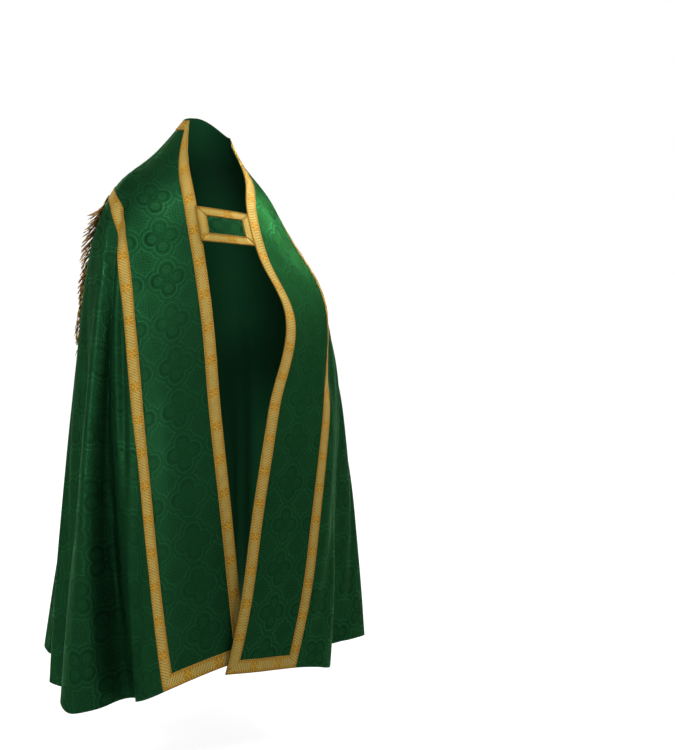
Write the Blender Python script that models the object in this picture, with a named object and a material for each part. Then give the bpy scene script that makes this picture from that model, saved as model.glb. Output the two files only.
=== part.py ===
import math

import bmesh
import bpy
import numpy as np

# Cope, metres, +Z up. Origin: middle of the neck opening at the height of the
# right neck side. The front opening faces -Y, the wearer's left is +X.

# ---- driving dimensions -------------------------------------------------
CLOTH = 0.0024          # damask, interlining and lining together
HOOD_CLOTH = 0.0020
GALLOON = 0.0014        # woven braid
PART_GAP = 0.0004       # pieces stand this far apart
CAPE_LENGTH = 1.47      # neckline to hem, down the cloth
BAND = 0.232            # width of the orphrey band
BRAID = 0.034           # wide galloon
BRAID_NARROW = 0.025    # galloon on the edge of the hood
HOOD_HALF = 0.262       # half the width of the hood
HOOD_HEIGHT = 0.470
HOOD_CORNER = 0.115     # radius of the two lower corners
HOOD_REVEAL = 0.020     # damask left between the two hood galloons
FRINGE_LENGTH = 0.043
FRINGE_LOCKS = 180
MORSE_WIDTH = 0.140
MORSE_HEIGHT = 0.090
MORSE_BRAID = 0.023

# Plan of the garment on the figure: a row per height down the cloth.
# down, half widths right and left, depth behind, middle right and left,
# front right and left, squareness before and behind, front edge right and left
PLAN = [
    (0.00, 0.042, 0.085, 0.066, 0.030, 0.024, 0.000, -0.030, 2.0, 2.0, -0.038, 0.079),
    (0.10, 0.122, 0.118, 0.106, 0.028, 0.030, -0.074, -0.081, 2.0, 2.1, -0.080, 0.080),
    (0.22, 0.214, 0.186, 0.160, 0.050, 0.030, -0.132, -0.130, 2.0, 2.3, -0.094, 0.044),
    (0.36, 0.272, 0.250, 0.198, 0.050, 0.010, -0.160, -0.175, 2.0, 2.5, -0.090, 0.052),
    (0.50, 0.300, 0.322, 0.230, 0.045, -0.025, -0.192, -0.212, 2.0, 2.5, -0.090, 0.108),
    (0.75, 0.326, 0.387, 0.276, 0.040, -0.064, -0.240, -0.255, 2.0, 2.7, -0.096, 0.025),
    (1.00, 0.352, 0.409, 0.315, 0.028, -0.080, -0.286, -0.300, 2.1, 2.8, -0.098, -0.052),
    (1.25, 0.372, 0.418, 0.348, 0.020, -0.080, -0.318, -0.338, 2.2, 3.0, -0.096, -0.112),
    (1.47, 0.386, 0.424, 0.376, 0.010, -0.060, -0.340, -0.362, 2.2, 3.0, -0.094, -0.166),
]

# Height of each ring: front edges, sides, middle of the back.
# down, edge right, edge left, side right, side left, back
LEVELS = [
    (0.00, 0.000, -0.062, 0.000, -0.040, 0.010),
    (0.10, -0.098, -0.130, -0.084, -0.106, -0.066),
    (0.22, -0.215, -0.220, -0.161, -0.190, -0.155),
    (0.36, -0.350, -0.345, -0.285, -0.300, -0.280),
    (0.50, -0.484, -0.480, -0.415, -0.415, -0.416),
    (0.75, -0.724, -0.722, -0.668, -0.662, -0.660),
    (1.00, -0.960, -0.958, -0.928, -0.918, -0.906),
    (1.25, -1.180, -1.180, -1.192, -1.170, -1.150),
    (1.47, -1.322, -1.344, -1.440, -1.402, -1.370),
]

# Folds as they stand at the hem, a row per crest or hollow.
# x, y, z, height down the cloth where the fold begins
FOLDS = [
    (-0.094, -0.340, -1.322, 0.30),    # right front edge
    (-0.185, -0.348, -1.332, 0.30),
    (-0.280, -0.325, -1.362, 0.30),    # right outer corner
    (-0.316, -0.232, -1.412, 0.28),
    (-0.320, -0.150, -1.440, 0.26),    # hollow beside the band
    (-0.372, -0.102, -1.456, 0.32),
    (-0.440, -0.070, -1.466, 0.38),    # right side crest
    (-0.436, -0.008, -1.452, 0.48),
    (-0.374, 0.045, -1.446, 0.60),     # shallow hollow
    (-0.392, 0.095, -1.446, 0.60),
    (-0.396, 0.145, -1.444, 0.55),     # second side crest
    (-0.330, 0.178, -1.432, 0.40),
    (-0.256, 0.208, -1.420, 0.30),     # deep hollow
    (-0.296, 0.250, -1.416, 0.45),
    (-0.335, 0.280, -1.412, 0.50),     # back right crest
    (-0.314, 0.350, -1.398, 0.55),
    (-0.200, 0.382, -1.374, 0.60),
    (-0.110, 0.376, -1.369, 0.60),
    (-0.015, 0.382, -1.370, 0.60),     # middle of the back
    (0.080, 0.376, -1.370, 0.60),
    (0.190, 0.372, -1.376, 0.55),
    (0.262, 0.335, -1.384, 0.50),      # back left crest
    (0.262, 0.255, -1.388, 0.42),
    (0.225, 0.160, -1.392, 0.40),      # hollow
    (0.305, 0.085, -1.397, 0.38),
    (0.420, 0.035, -1.406, 0.36),
    (0.472, -0.048, -1.410, 0.36),     # left side crest
    (0.395, -0.092, -1.404, 0.38),
    (0.275, -0.118, -1.402, 0.40),     # hollow
    (0.226, -0.190, -1.398, 0.42),
    (0.198, -0.272, -1.406, 0.42),     # crest beside the band
    (0.136, -0.306, -1.388, 0.42),
    (0.064, -0.322, -1.374, 0.42),     # left outer corner
    (-0.055, -0.348, -1.358, 0.42),
    (-0.166, -0.362, -1.344, 0.42),    # left front edge
]
BACK_LEVEL = 0.95       # share of the quarter behind the side over which a ring climbs
MIDDLE_BACK = 18        # row of FOLDS at the centre-back seam
FOLD_GROWTH = 1.1

# How far the hood hangs off the back, by distance down the hood
HOOD_LIFT = [(0.0, 0.0040), (0.10, 0.0086), (0.25, 0.0130), (0.60, 0.0170)]

# Rows of panels: down the front from the hem to the shoulder, and across the back
FRONT_ROWS = 17
BACK_ROWS = 30
SHOULDER = 0.235        # the seam turns from the front to the back here

COLLECTION = "cope"


# ---- cloth form ---------------------------------------------------------
def smooth_table(rows):
    """Rows of a table as a smooth curve through them."""
    table = np.array(rows, float)
    at, values = table[:, 0], table[:, 1:]
    step = np.diff(at)[:, None]
    slope = np.diff(values, axis=0) / step
    tangent = np.zeros_like(values)
    tangent[1:-1] = (slope[:-1] * step[1:] + slope[1:] * step[:-1]) / (step[1:] + step[:-1])
    tangent[0] = slope[0] * 1.5 - tangent[1] * 0.5
    tangent[-1] = slope[-1] * 1.5 - tangent[-2] * 0.5
    return at, values, tangent


def read_table(table, place):
    at, values, tangent = table
    i = int(min(max(np.searchsorted(at, place) - 1, 0), len(at) - 2))
    step = at[i + 1] - at[i]
    x = (place - at[i]) / step
    return ((1 + 2 * x) * (1 - x) ** 2 * values[i] + x * (1 - x) ** 2 * step * tangent[i]
            + x * x * (3 - 2 * x) * values[i + 1] + x * x * (x - 1) * step * tangent[i + 1])


def even_spread(points, count, columns=2):
    """Points of a line read again at even distances; returns them and the length."""
    run = np.linalg.norm(np.diff(points[:, :columns], axis=0), axis=1)
    along = np.concatenate([[0.0], np.cumsum(run)])
    even = np.linspace(0.0, along[-1], count)
    spread = [np.interp(even, along, points[:, i]) for i in range(points.shape[1])]
    return np.stack(spread, 1), along[-1]


DENSE = 361
DENSE_ROWS = 146
plan_table = smooth_table(PLAN)
level_table = smooth_table(LEVELS)
fold_points = np.array(FOLDS)
fold_run = np.linalg.norm(np.diff(fold_points[:, :2], axis=0), axis=1) ** 0.75
fold_place = np.concatenate([[0.0], np.cumsum(fold_run)])
fold_table = smooth_table(np.column_stack([fold_place, fold_points]))


def smooth_ring(half, down):
    """Half a ring without folds, from the front edge to the middle of the back."""
    plan = read_table(plan_table, down)
    level = read_table(level_table, down)
    sign = -1.0 if half == "right" else 1.0
    k = 0 if half == "right" else 1
    wide, behind, middle, front = plan[k], plan[2], plan[3 + k], plan[5 + k]
    edge = plan[9 + k] * sign
    turn = math.copysign(abs(edge / wide) ** (plan[7] / 2.0), edge)
    angle = np.linspace(math.acos(max(-1.0, min(1.0, turn))), -math.pi / 2, 901)
    before = angle > 0
    power = np.where(before, 2.0 / plan[7], 2.0 / plan[8])
    x = sign * wide * np.sign(np.cos(angle)) * np.abs(np.cos(angle)) ** power
    reach = np.where(before, middle - front, behind - middle)
    y = middle - reach * np.sign(np.sin(angle)) * np.abs(np.sin(angle)) ** power
    share = np.where(before, angle / angle[0], -angle / (math.pi / 2) / BACK_LEVEL)
    share = np.clip(share, 0, 1) ** 2 * (3 - 2 * np.clip(share, 0, 1))
    z = level[2 + k] + (np.where(before, level[k], level[4]) - level[2 + k]) * share
    return even_spread(np.stack([x, y, z], 1), DENSE)[0]


def hem_line(half):
    ends = (0.0, fold_place[MIDDLE_BACK])
    if half == "left":
        ends = (fold_place[-1], fold_place[MIDDLE_BACK])
    line = [read_table(fold_table, t) for t in np.linspace(ends[0], ends[1], 901)]
    return even_spread(np.array(line), DENSE)[0]


class Half:
    """One half of the cope: points at (across, down), folded or smooth."""

    def __init__(self, half):
        self.sign = -1.0 if half == "right" else 1.0
        self.down = np.linspace(0.0, CAPE_LENGTH, DENSE_ROWS)
        self.smooth = np.array([smooth_ring(half, d) for d in self.down])
        hem = hem_line(half)
        shift = hem[:, :3] - self.smooth[-1]
        start = hem[:, 3]
        grow = (self.down[:, None] - start) / (CAPE_LENGTH - start)
        grow = np.clip(grow, 0, 1) ** FOLD_GROWTH
        self.folded = self.smooth + shift * grow[:, :, None]
        self.length = self.lengths(self.folded)
        self.smooth_length = self.lengths(self.smooth)
        self.normal = self.normals(self.folded)
        self.smooth_normal = self.normals(self.smooth)

    def lengths(self, grid):
        return np.linalg.norm(np.diff(grid, axis=1), axis=2).sum(1)

    def normals(self, grid):
        normal = np.cross(np.gradient(grid, axis=0), np.gradient(grid, axis=1)) * self.sign
        return normal / np.linalg.norm(normal, axis=2)[:, :, None]

    def read(self, grid, across, down):
        i = np.clip(np.asarray(down) / CAPE_LENGTH * (DENSE_ROWS - 1), 0, DENSE_ROWS - 1.0001)
        j = np.clip(np.asarray(across) * (DENSE - 1), 0, DENSE - 1.0001)
        a, b = i.astype(int), j.astype(int)
        p, q = (i - a)[..., None], (j - b)[..., None]
        return ((grid[a, b] * (1 - p) + grid[a + 1, b] * p) * (1 - q)
                + (grid[a, b + 1] * (1 - p) + grid[a + 1, b + 1] * p) * q)

    def point(self, across, down):
        return self.read(self.folded, across, down)

    def outward(self, across, down):
        normal = self.read(self.normal, across, down)
        return normal / np.linalg.norm(normal, axis=-1)[..., None]

    def width(self, down):
        return np.interp(down, self.down, self.length)

    def smooth_width(self, down):
        return np.interp(down, self.down, self.smooth_length)

    def seam(self):
        """Seam between band and body as (across, down), from the hem to the middle back."""
        corner = 4.0
        angle = np.linspace(0.0005, math.pi / 2 - 0.0005, 6000)
        aside = BAND / np.cos(angle) ** (2 / corner)
        below = BAND / np.sin(angle) ** (2 / corner)
        keep = below <= CAPE_LENGTH
        aside, below = aside[keep], below[keep]
        across = aside / self.width(below)
        first = int(np.argmax(across >= 1.0))
        across, below = across[:first + 1], below[:first + 1]
        across[-1] = 1.0
        ease = np.clip((across - 0.5) / 0.5, 0, 1)
        below = below - (below[-1] - BAND) * ease * ease * (3 - 2 * ease)
        first_row = [BAND / self.width(CAPE_LENGTH), CAPE_LENGTH]
        line = np.vstack([first_row, np.stack([across, below], 1)])
        return line

    def along(self, line):
        points = self.point(line[:, 0], line[:, 1])
        return np.concatenate([[0.0], np.cumsum(np.linalg.norm(np.diff(points, axis=0), axis=1))])


halves = {"right": Half("right"), "left": Half("left")}


def middle_normal(down):
    """Outward direction at the middle of the back, the same for both halves."""
    ends = np.ones(len(down))
    normal = halves["right"].outward(ends, down) + halves["left"].outward(ends, down)
    normal[:, 0] *= 0.5
    return normal / np.linalg.norm(normal, axis=1)[:, None]


def band_rows(half):
    """Ends of each row of the band: (across, down) on the edge and on the seam."""
    seam = half.seam()
    run = half.along(seam)
    turn = run[int(np.argmax(seam[:, 1] <= SHOULDER + 0.02))]
    front = np.concatenate([[0.0, BRAID], np.linspace(BRAID, turn, FRONT_ROWS)[1:]])
    back = np.linspace(turn, run[-1], BACK_ROWS + 1)[1:]
    back[-2] = run[-1] - BRAID / 2
    back[-3] = (back[-2] + back[-4]) / 2
    places = np.concatenate([front, back])
    on_seam = np.stack([np.interp(places, run, seam[:, 0]), np.interp(places, run, seam[:, 1])], 1)
    edge = np.vstack([
        np.stack([np.zeros(400), np.linspace(CAPE_LENGTH, 0, 400)], 1),
        np.stack([np.linspace(0, 1, 160), np.zeros(160)], 1)[1:]])
    edge_run = half.along(edge)
    share = np.clip((places - 0.55 * turn) / (run[-1] - 0.55 * turn), 0, 1)
    on_edge_at = places + (edge_run[-1] - run[-1]) * share ** 1.5
    on_edge_at[-2] = edge_run[-1] - BRAID / 2
    on_edge_at[-3] = (on_edge_at[-2] + on_edge_at[-4]) / 2
    on_edge = np.stack([np.interp(on_edge_at, edge_run, edge[:, 0]),
                        np.interp(on_edge_at, edge_run, edge[:, 1])], 1)
    return on_edge, on_seam


def band_grid(half):
    """Grid of the band: rows from the hem to the middle back, six columns across."""
    on_edge, on_seam = band_rows(half)
    rows = []
    for start, end in zip(on_edge, on_seam):
        line = start + (end - start) * np.linspace(0, 1, 13)[:, None]
        wide = half.along(line)
        stops = [0.0, BRAID, 0.0, 0.0, wide[-1] - BRAID, wide[-1]]
        stops[2] = BRAID + (wide[-1] - 2 * BRAID) / 3
        stops[3] = BRAID + (wide[-1] - 2 * BRAID) * 2 / 3
        share = np.interp(stops, wide, np.linspace(0, 1, 13))
        rows.append(start + (end - start) * share[:, None])
    return np.array(rows)


def body_grid(half):
    """Grid of the body panel between the seam, the hem and the middle back."""
    on_seam = band_rows(half)[1]
    front = on_seam[:FRONT_ROWS + 1]          # hem to shoulder
    top = on_seam[FRONT_ROWS:]                # shoulder to middle back
    rows, columns = len(front), len(top)
    left = front[::-1]                        # shoulder down to hem
    share_down = half.along(left)
    share_down /= share_down[-1]
    right = np.stack([np.ones(rows), BAND + (CAPE_LENGTH - BAND) * share_down], 1)
    share_hem = np.linspace(0, 1, columns)
    hem = np.stack([front[0, 0] + (1 - front[0, 0]) * share_hem, np.full(columns, CAPE_LENGTH)], 1)
    p = share_down[:, None, None]
    q = share_hem[None, :, None]
    grid = (top[None] * (1 - p) + hem[None] * p + left[:, None] * (1 - q) + right[:, None] * q
            - (top[0] * (1 - p) * (1 - q) + top[-1] * (1 - p) * q
               + hem[0] * p * (1 - q) + hem[-1] * p * q))
    return grid


def grid_normals(points):
    down = np.gradient(points, axis=0)
    side = np.gradient(points, axis=1)
    normal = np.cross(down, side)
    return normal / np.linalg.norm(normal, axis=2)[:, :, None]


def trim(points, top=0.0, bottom=0.0, left=0.0, right=0.0):
    """Draw the edges of a grid of points in by the given distances."""
    out = points.copy()

    def draw(edge, inner, distance):
        step = inner - edge
        return edge + step / np.linalg.norm(step, axis=-1)[..., None] * distance

    if top:
        out[0] = draw(out[0], out[1], top)
    if bottom:
        out[-1] = draw(out[-1], out[-2], bottom)
    if left:
        out[:, 0] = draw(out[:, 0], out[:, 1], left)
    if right:
        out[:, -1] = draw(out[:, -1], out[:, -2], right)
    return out


def leave_seam(points, normals):
    """Draw the body panel back from its seam with the band, square to the seam."""
    line = np.concatenate([points[:0:-1, 0], points[0]])
    face = np.concatenate([normals[:0:-1, 0], normals[0]])
    inner = np.concatenate([points[:0:-1, 1], points[1, 1][None], points[1, 1:]])
    away = np.cross(face, np.gradient(line, axis=0))
    away /= np.linalg.norm(away, axis=1)[:, None]
    toward = np.sign(np.sum(away * (inner - line), axis=1))
    line = line + away * toward[:, None] * PART_GAP
    out = points.copy()
    count = len(points) - 1
    out[:0:-1, 0] = line[:count]
    out[0] = line[count:]
    return out


# ---- Blender objects ----------------------------------------------------
for old in list(bpy.data.objects):
    bpy.data.objects.remove(old, do_unlink=True)
collection = bpy.data.collections.new(COLLECTION)
bpy.context.scene.collection.children.link(collection)


def material(name, colour, rough):
    made = bpy.data.materials.new(name)
    made.use_nodes = True
    shader = made.node_tree.nodes["Principled BSDF"]
    shader.inputs["Base Color"].default_value = (*colour, 1.0)
    shader.inputs["Roughness"].default_value = rough
    return made


DAMASK_GREEN = (0.010, 0.085, 0.030)
GALLOON_GOLD = (0.60, 0.40, 0.12)
FRINGE_BRONZE = (0.32, 0.20, 0.09)


def add_object(name, mesh, colour, rough):
    made = bpy.data.objects.new(name, mesh)
    collection.objects.link(made)
    made.data.materials.append(material(name, colour, rough))
    return made


def merged(points, normals, faces):
    """One point where a sheet's grids meet, and no face without area."""
    place, keep, new_points, new_normals = {}, [], [], []
    for point, normal in zip(points, normals):
        key = tuple(np.round(point, 5))
        if key not in place:
            place[key] = len(new_points)
            new_points.append(point)
            new_normals.append(normal)
        keep.append(place[key])
    new_faces = []
    for face in faces:
        corners = [keep[v] for v in face]
        if len(set(corners)) == 3:
            new_faces.append(tuple(corners))
    return np.array(new_points), np.array(new_normals), new_faces


def wall(name, points, normals, low, high, faces, colour, rough):
    """A closed wall between two heights over a sheet, along the sheet's own normals."""
    points, normals, faces = merged(points, normals, faces)
    count = len(points)
    corners = np.concatenate([points + normals * high, points + normals * low])
    solid = list(faces) + [(c + count, b + count, a + count) for a, b, c in faces]
    edges = set()
    for a, b, c in faces:
        edges.update(((a, b), (b, c), (c, a)))
    for a, b in sorted(edges):
        if (b, a) not in edges:
            solid.append((b, a, a + count))
            solid.append((b, a + count, b + count))
    mesh = bpy.data.meshes.new(name)
    mesh.from_pydata([tuple(p) for p in corners], [], solid)
    mesh.update()
    return add_object(name, mesh, colour, rough)


def grid_faces(rows, columns, start=0, skip=()):
    faces = []
    for i in range(rows - 1):
        for j in range(columns - 1):
            if (i, j) in skip:
                continue
            a = start + i * columns + j
            faces.append((a, a + columns, a + columns + 1))
            faces.append((a, a + columns + 1, a + 1))
    return faces


def grid_wall(name, points, normals, low, high, colour, rough, flip=False, skip=()):
    rows, columns = points.shape[:2]
    faces = grid_faces(rows, columns, skip=skip)
    if flip:
        faces = [(c, b, a) for a, b, c in faces]
    return wall(name, points.reshape(-1, 3), normals.reshape(-1, 3), low, high,
                faces, colour, rough)


# ---- body: two damask panels joined at the middle of the back ------------
for name, half in halves.items():
    flat = body_grid(half)
    points = half.point(flat[..., 0], flat[..., 1])
    normals = half.outward(flat[..., 0], flat[..., 1])
    normals[:, -1] = middle_normal(flat[:, -1, 1])
    points = leave_seam(points, normals)
    points = trim(points, right=PART_GAP / 2)
    grid_wall("body_" + name, points, normals, -CLOTH, 0.0, DAMASK_GREEN, 0.55,
              flip=name == "right")

# ---- orphrey: one band up the right front, round the neck, down the left --
right_flat, left_flat = band_grid(halves["right"]), band_grid(halves["left"])
right_band = halves["right"].point(right_flat[..., 0], right_flat[..., 1])
left_band = halves["left"].point(left_flat[..., 0], left_flat[..., 1])
right_normal = halves["right"].outward(right_flat[..., 0], right_flat[..., 1])
left_normal = halves["left"].outward(left_flat[..., 0], left_flat[..., 1])
middle = (right_band[-1] + left_band[-1]) / 2
band = np.concatenate([right_band[:-1], middle[None], left_band[-2::-1]])
band_normal = np.concatenate([right_normal[:-1], middle_normal(right_flat[-1, :, 1])[None],
                              left_normal[-2::-1]])
BAND_LAST = len(band) - 1
BAND_MIDDLE = len(right_band) - 1
grid_wall("orphrey", band, band_normal, -CLOTH, 0.0, DAMASK_GREEN, 0.55)


def braid(name, points, normals, skip=(), flip=False):
    """A galloon carried on a sheet's own points."""
    return grid_wall(name, points, normals, PART_GAP, PART_GAP + GALLOON, GALLOON_GOLD, 0.45,
                     skip=skip, flip=flip)


def band_braid(name, rows, columns, **edges):
    """A galloon on part of the band's grid."""
    part = np.s_[rows[0]:rows[1] + 1, columns[0]:columns[1] + 1]
    return braid(name, trim(band[part], **edges), band_normal[part])


# ---- galloons on the band: edge, seam, hems and middle of the back --------
band_braid("edge_galloon", (0, BAND_LAST), (0, 1))
band_braid("seam_galloon", (0, BAND_LAST), (4, 5))
band_braid("hem_galloon_right", (0, 1), (1, 4), left=PART_GAP, right=PART_GAP)
band_braid("hem_galloon_left", (BAND_LAST - 1, BAND_LAST), (1, 4),
           left=PART_GAP, right=PART_GAP)
band_braid("collar_galloon", (BAND_MIDDLE - 1, BAND_MIDDLE + 1), (1, 4),
           left=PART_GAP, right=PART_GAP)


# ---- hood: a shield hanging from the lower edge of the band ----------------
seam_lines = {name: half.seam() for name, half in halves.items()}


def hood_point(aside, below, out=0.0):
    """Point of the hood from its distance across (+ to the left) and down."""
    name = "right" if aside < 0 else "left"
    half = halves[name]
    line = seam_lines[name]
    down = BAND + below
    for _ in range(4):
        across = 1.0 - abs(aside) / half.smooth_width(down)
        top = float(np.interp(across, line[:, 0], line[:, 1]))
        down = top + 0.004 + below
    lift = float(np.interp(below, [r[0] for r in HOOD_LIFT], [r[1] for r in HOOD_LIFT])) + out
    point = half.read(half.smooth, across, down)
    normal = half.read(half.smooth_normal, across, down)
    return point + normal / np.linalg.norm(normal) * lift


SIDE_ROWS = 7           # rows of the hood down a side, the first under the top braid
CORNER_ROWS = 3         # rows to the middle of a corner
FLAT_COLUMNS = 6        # columns across the straight of the bottom edge
HOOD_DOWN = SIDE_ROWS + CORNER_ROWS
HOOD_ACROSS = FLAT_COLUMNS + 2 * CORNER_ROWS
HOOD_ROUND = 2 * HOOD_DOWN + HOOD_ACROSS
INSETS = (0.0, BRAID_NARROW, BRAID_NARROW + HOOD_REVEAL, BRAID_NARROW + HOOD_REVEAL + BRAID)


def hood_outline(inset, step):
    """Flat point on the U of the hood; step counts round from the top of the left side."""
    if step > HOOD_ROUND / 2:
        aside, below = hood_outline(inset, HOOD_ROUND - step)
        return -aside, below
    wide = HOOD_HALF - inset
    tall = HOOD_HEIGHT - inset
    corner = HOOD_CORNER - inset
    straight = tall - corner
    if step <= 1:
        return wide, BRAID * step
    if step <= SIDE_ROWS:
        return wide, BRAID + (straight - BRAID) * (step - 1) / (SIDE_ROWS - 1)
    if step <= SIDE_ROWS + 2 * CORNER_ROWS:
        turn = (step - SIDE_ROWS) / CORNER_ROWS * math.pi / 4
        return wide - corner + corner * math.cos(turn), straight + corner * math.sin(turn)
    past = (step - SIDE_ROWS - 2 * CORNER_ROWS) / (FLAT_COLUMNS / 2)
    return (wide - corner) * (1 - past), tall


def hood_field():
    """Flat grid of the field inside the frame, its sides on the frame's inner line."""
    inset = INSETS[-1]
    left = np.array([hood_outline(inset, i) for i in range(HOOD_DOWN + 1)])
    right = left * np.array([-1.0, 1.0])
    low = np.array([hood_outline(inset, HOOD_DOWN + j) for j in range(HOOD_ACROSS + 1)])
    share = (left[0, 0] - low[:, 0] * left[0, 0] / low[0, 0]) / (2 * left[0, 0])
    top = np.stack([left[0, 0] * (1 - 2 * share), np.zeros(HOOD_ACROSS + 1)], 1)
    p = (left[:, 1] / left[-1, 1])[:, None, None]
    q = share[None, :, None]
    return (top[None] * (1 - p) + low[None] * p + left[:, None] * (1 - q) + right[:, None] * q
            - (top[0] * (1 - p) * (1 - q) + top[-1] * (1 - p) * q
               + low[0] * p * (1 - q) + low[-1] * p * q))


def hood_surface(flat):
    return np.array([[hood_point(a, b) for a, b in row] for row in flat])


def hood_normals(flat):
    near = 0.002
    out = np.zeros(flat.shape[:2] + (3,))
    for i, row in enumerate(flat):
        for j, (a, b) in enumerate(row):
            side = hood_point(a + near, b) - hood_point(a - near, b)
            down = hood_point(a, b + near) - hood_point(a, b)
            normal = np.cross(side, down)
            if normal[1] < 0:
                normal = -normal
            out[i, j] = normal / np.linalg.norm(normal)
    return out


rim_flat = np.array([[hood_outline(inset, step) for inset in INSETS]
                     for step in range(HOOD_ROUND + 1)])
field_flat = hood_field()
rim, field = hood_surface(rim_flat), hood_surface(field_flat)
rim_normal, field_normal = hood_normals(rim_flat), hood_normals(field_flat)
hood_faces = grid_faces(HOOD_ROUND + 1, len(INSETS))
hood_faces += grid_faces(HOOD_DOWN + 1, HOOD_ACROSS + 1, start=rim.shape[0] * rim.shape[1])
wall("hood_panel", np.concatenate([rim.reshape(-1, 3), field.reshape(-1, 3)]),
     np.concatenate([rim_normal.reshape(-1, 3), field_normal.reshape(-1, 3)]),
     -HOOD_CLOTH, 0.0, hood_faces, DAMASK_GREEN, 0.55)

braid("hood_edge_galloon", rim[:, 0:2], rim_normal[:, 0:2])
braid("hood_frame_galloon", trim(rim[1:-1, 2:4], top=PART_GAP, bottom=PART_GAP),
      rim_normal[1:-1, 2:4])
braid("hood_top_galloon",
      np.concatenate([rim[0:2, 2:3], field[0:2], rim[:-3:-1, 2:3]], 1),
      np.concatenate([rim_normal[0:2, 2:3], field_normal[0:2], rim_normal[:-3:-1, 2:3]], 1))


# ---- fringe: twisted locks on a narrow heading round the hood --------------
def outline_run(samples=801):
    """Outer line of the hood from the top left to the top right, evenly spaced."""
    line = [hood_outline(0.0, step) for step in np.linspace(0, HOOD_ROUND, samples)]
    return even_spread(np.array(line), 4001)


fringe_line, fringe_length = outline_run()
fringe_line = fringe_line[40:-40]
fringe_run = np.linspace(0, 1, len(fringe_line))
fringe_side = np.gradient(fringe_line, axis=0)
fringe_side /= np.linalg.norm(fringe_side, axis=1)[:, None]
fringe_out = np.stack([fringe_side[:, 1], -fringe_side[:, 0]], 1)
if fringe_out[0, 0] < 0:
    fringe_out = -fringe_out


def at_fringe(place):
    base = [np.interp(place, fringe_run, fringe_line[:, i]) for i in (0, 1)]
    away = [np.interp(place, fringe_run, fringe_out[:, i]) for i in (0, 1)]
    return np.array(base), np.array(away)


HEADING = 0.004        # heading the locks grow from
LOCK_SHARE = 0.62      # share of the pitch taken by a lock
FRINGE_THICK = 0.0030


def fringe_mesh():
    points, faces = [], []
    stations = []
    pitch = 1.0 / FRINGE_LOCKS
    for lock in range(FRINGE_LOCKS):
        start = (lock + (1 - LOCK_SHARE) / 2) * pitch
        stations += [start, start + LOCK_SHARE * pitch]
    for place in stations:
        base, away = at_fringe(place)
        inner = base + away * (PART_GAP * 1.5)
        outer = base + away * (PART_GAP * 1.5 + HEADING)
        points.append(hood_point(*inner, out=-0.0006))
        points.append(hood_point(*outer, out=-0.0006))
        points.append(hood_point(*outer, out=-0.0006 - FRINGE_THICK * 0.7))
        points.append(hood_point(*inner, out=-0.0006 - FRINGE_THICK * 0.7))
    last = len(stations) - 1
    for s in range(last):
        a, b = 4 * s, 4 * (s + 1)
        faces.append((a, a + 1, b + 1, b))
        faces.append((a + 2, a + 3, b + 3, b + 2))
        faces.append((a + 3, a, b, b + 3))
        if s % 2:
            faces.append((a + 1, a + 2, b + 2, b + 1))
    faces.append((0, 3, 2, 1))
    faces.append((4 * last, 4 * last + 1, 4 * last + 2, 4 * last + 3))
    for lock in range(FRINGE_LOCKS):
        s = 2 * lock
        place = (lock + 0.5) * pitch
        base, away = at_fringe(place)
        sway = 0.10 * math.sin(lock * 1.7) + 0.07 * math.sin(lock * 4.1 + 1.0)
        fall = np.array([away[0] * 0.80 + sway, away[1] * 0.80 + 0.50])
        fall /= np.linalg.norm(fall)
        long = FRINGE_LENGTH * (1.0 + 0.05 * math.sin(lock * 2.3))
        along = np.array([-fall[1], fall[0]])
        if np.dot(along, at_fringe(min(place + pitch, 1.0))[0] - base) < 0:
            along = -along
        rings = []
        for reach, wide, thick in ((0.45, 0.0038, 0.0030), (1.0, 0.0024, 0.0020)):
            middle = base + away * HEADING + fall * (long - HEADING) * reach
            near = middle - along * wide / 2
            far = middle + along * wide / 2
            out = 0.0012 + 0.0010 * math.sin(lock * 3.3)
            ring = [hood_point(*near, out=out), hood_point(*near, out=out - thick),
                    hood_point(*far, out=out - thick), hood_point(*far, out=out)]
            rings.append(len(points))
            points.extend(ring)
        a, b = 4 * s, 4 * (s + 1)
        root = (a + 1, a + 2, b + 2, b + 1)
        for ring in rings:
            tip = (ring, ring + 1, ring + 2, ring + 3)
            for k in range(4):
                n = (k + 1) % 4
                faces.append((root[k], root[n], tip[n], tip[k]))
            root = tip
        faces.append(root)
    mesh = bpy.data.meshes.new("hood_fringe")
    mesh.from_pydata([tuple(p) for p in points], [], faces)
    edit = bmesh.new()
    edit.from_mesh(mesh)
    bmesh.ops.recalc_face_normals(edit, faces=edit.faces)
    edit.to_mesh(mesh)
    edit.free()
    return mesh


add_object("hood_fringe", fringe_mesh(), FRINGE_BRONZE, 0.6)


# ---- morse: tab across the opening, sewn to the left band ------------------
left, right = halves["left"], halves["right"]
MORSE_TOP = 0.244       # down the left front edge
MORSE_RISE = 0.019      # its free end sits this much higher
RIGHT_LAP = 0.007       # laps over the right front edge
RIGHT_STAND = 0.0062    # and stands off it by this
LEFT_STAND = 0.0032     # at the sewn end it lies level with the edge braid
MORSE_BULGE = 0.010


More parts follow.
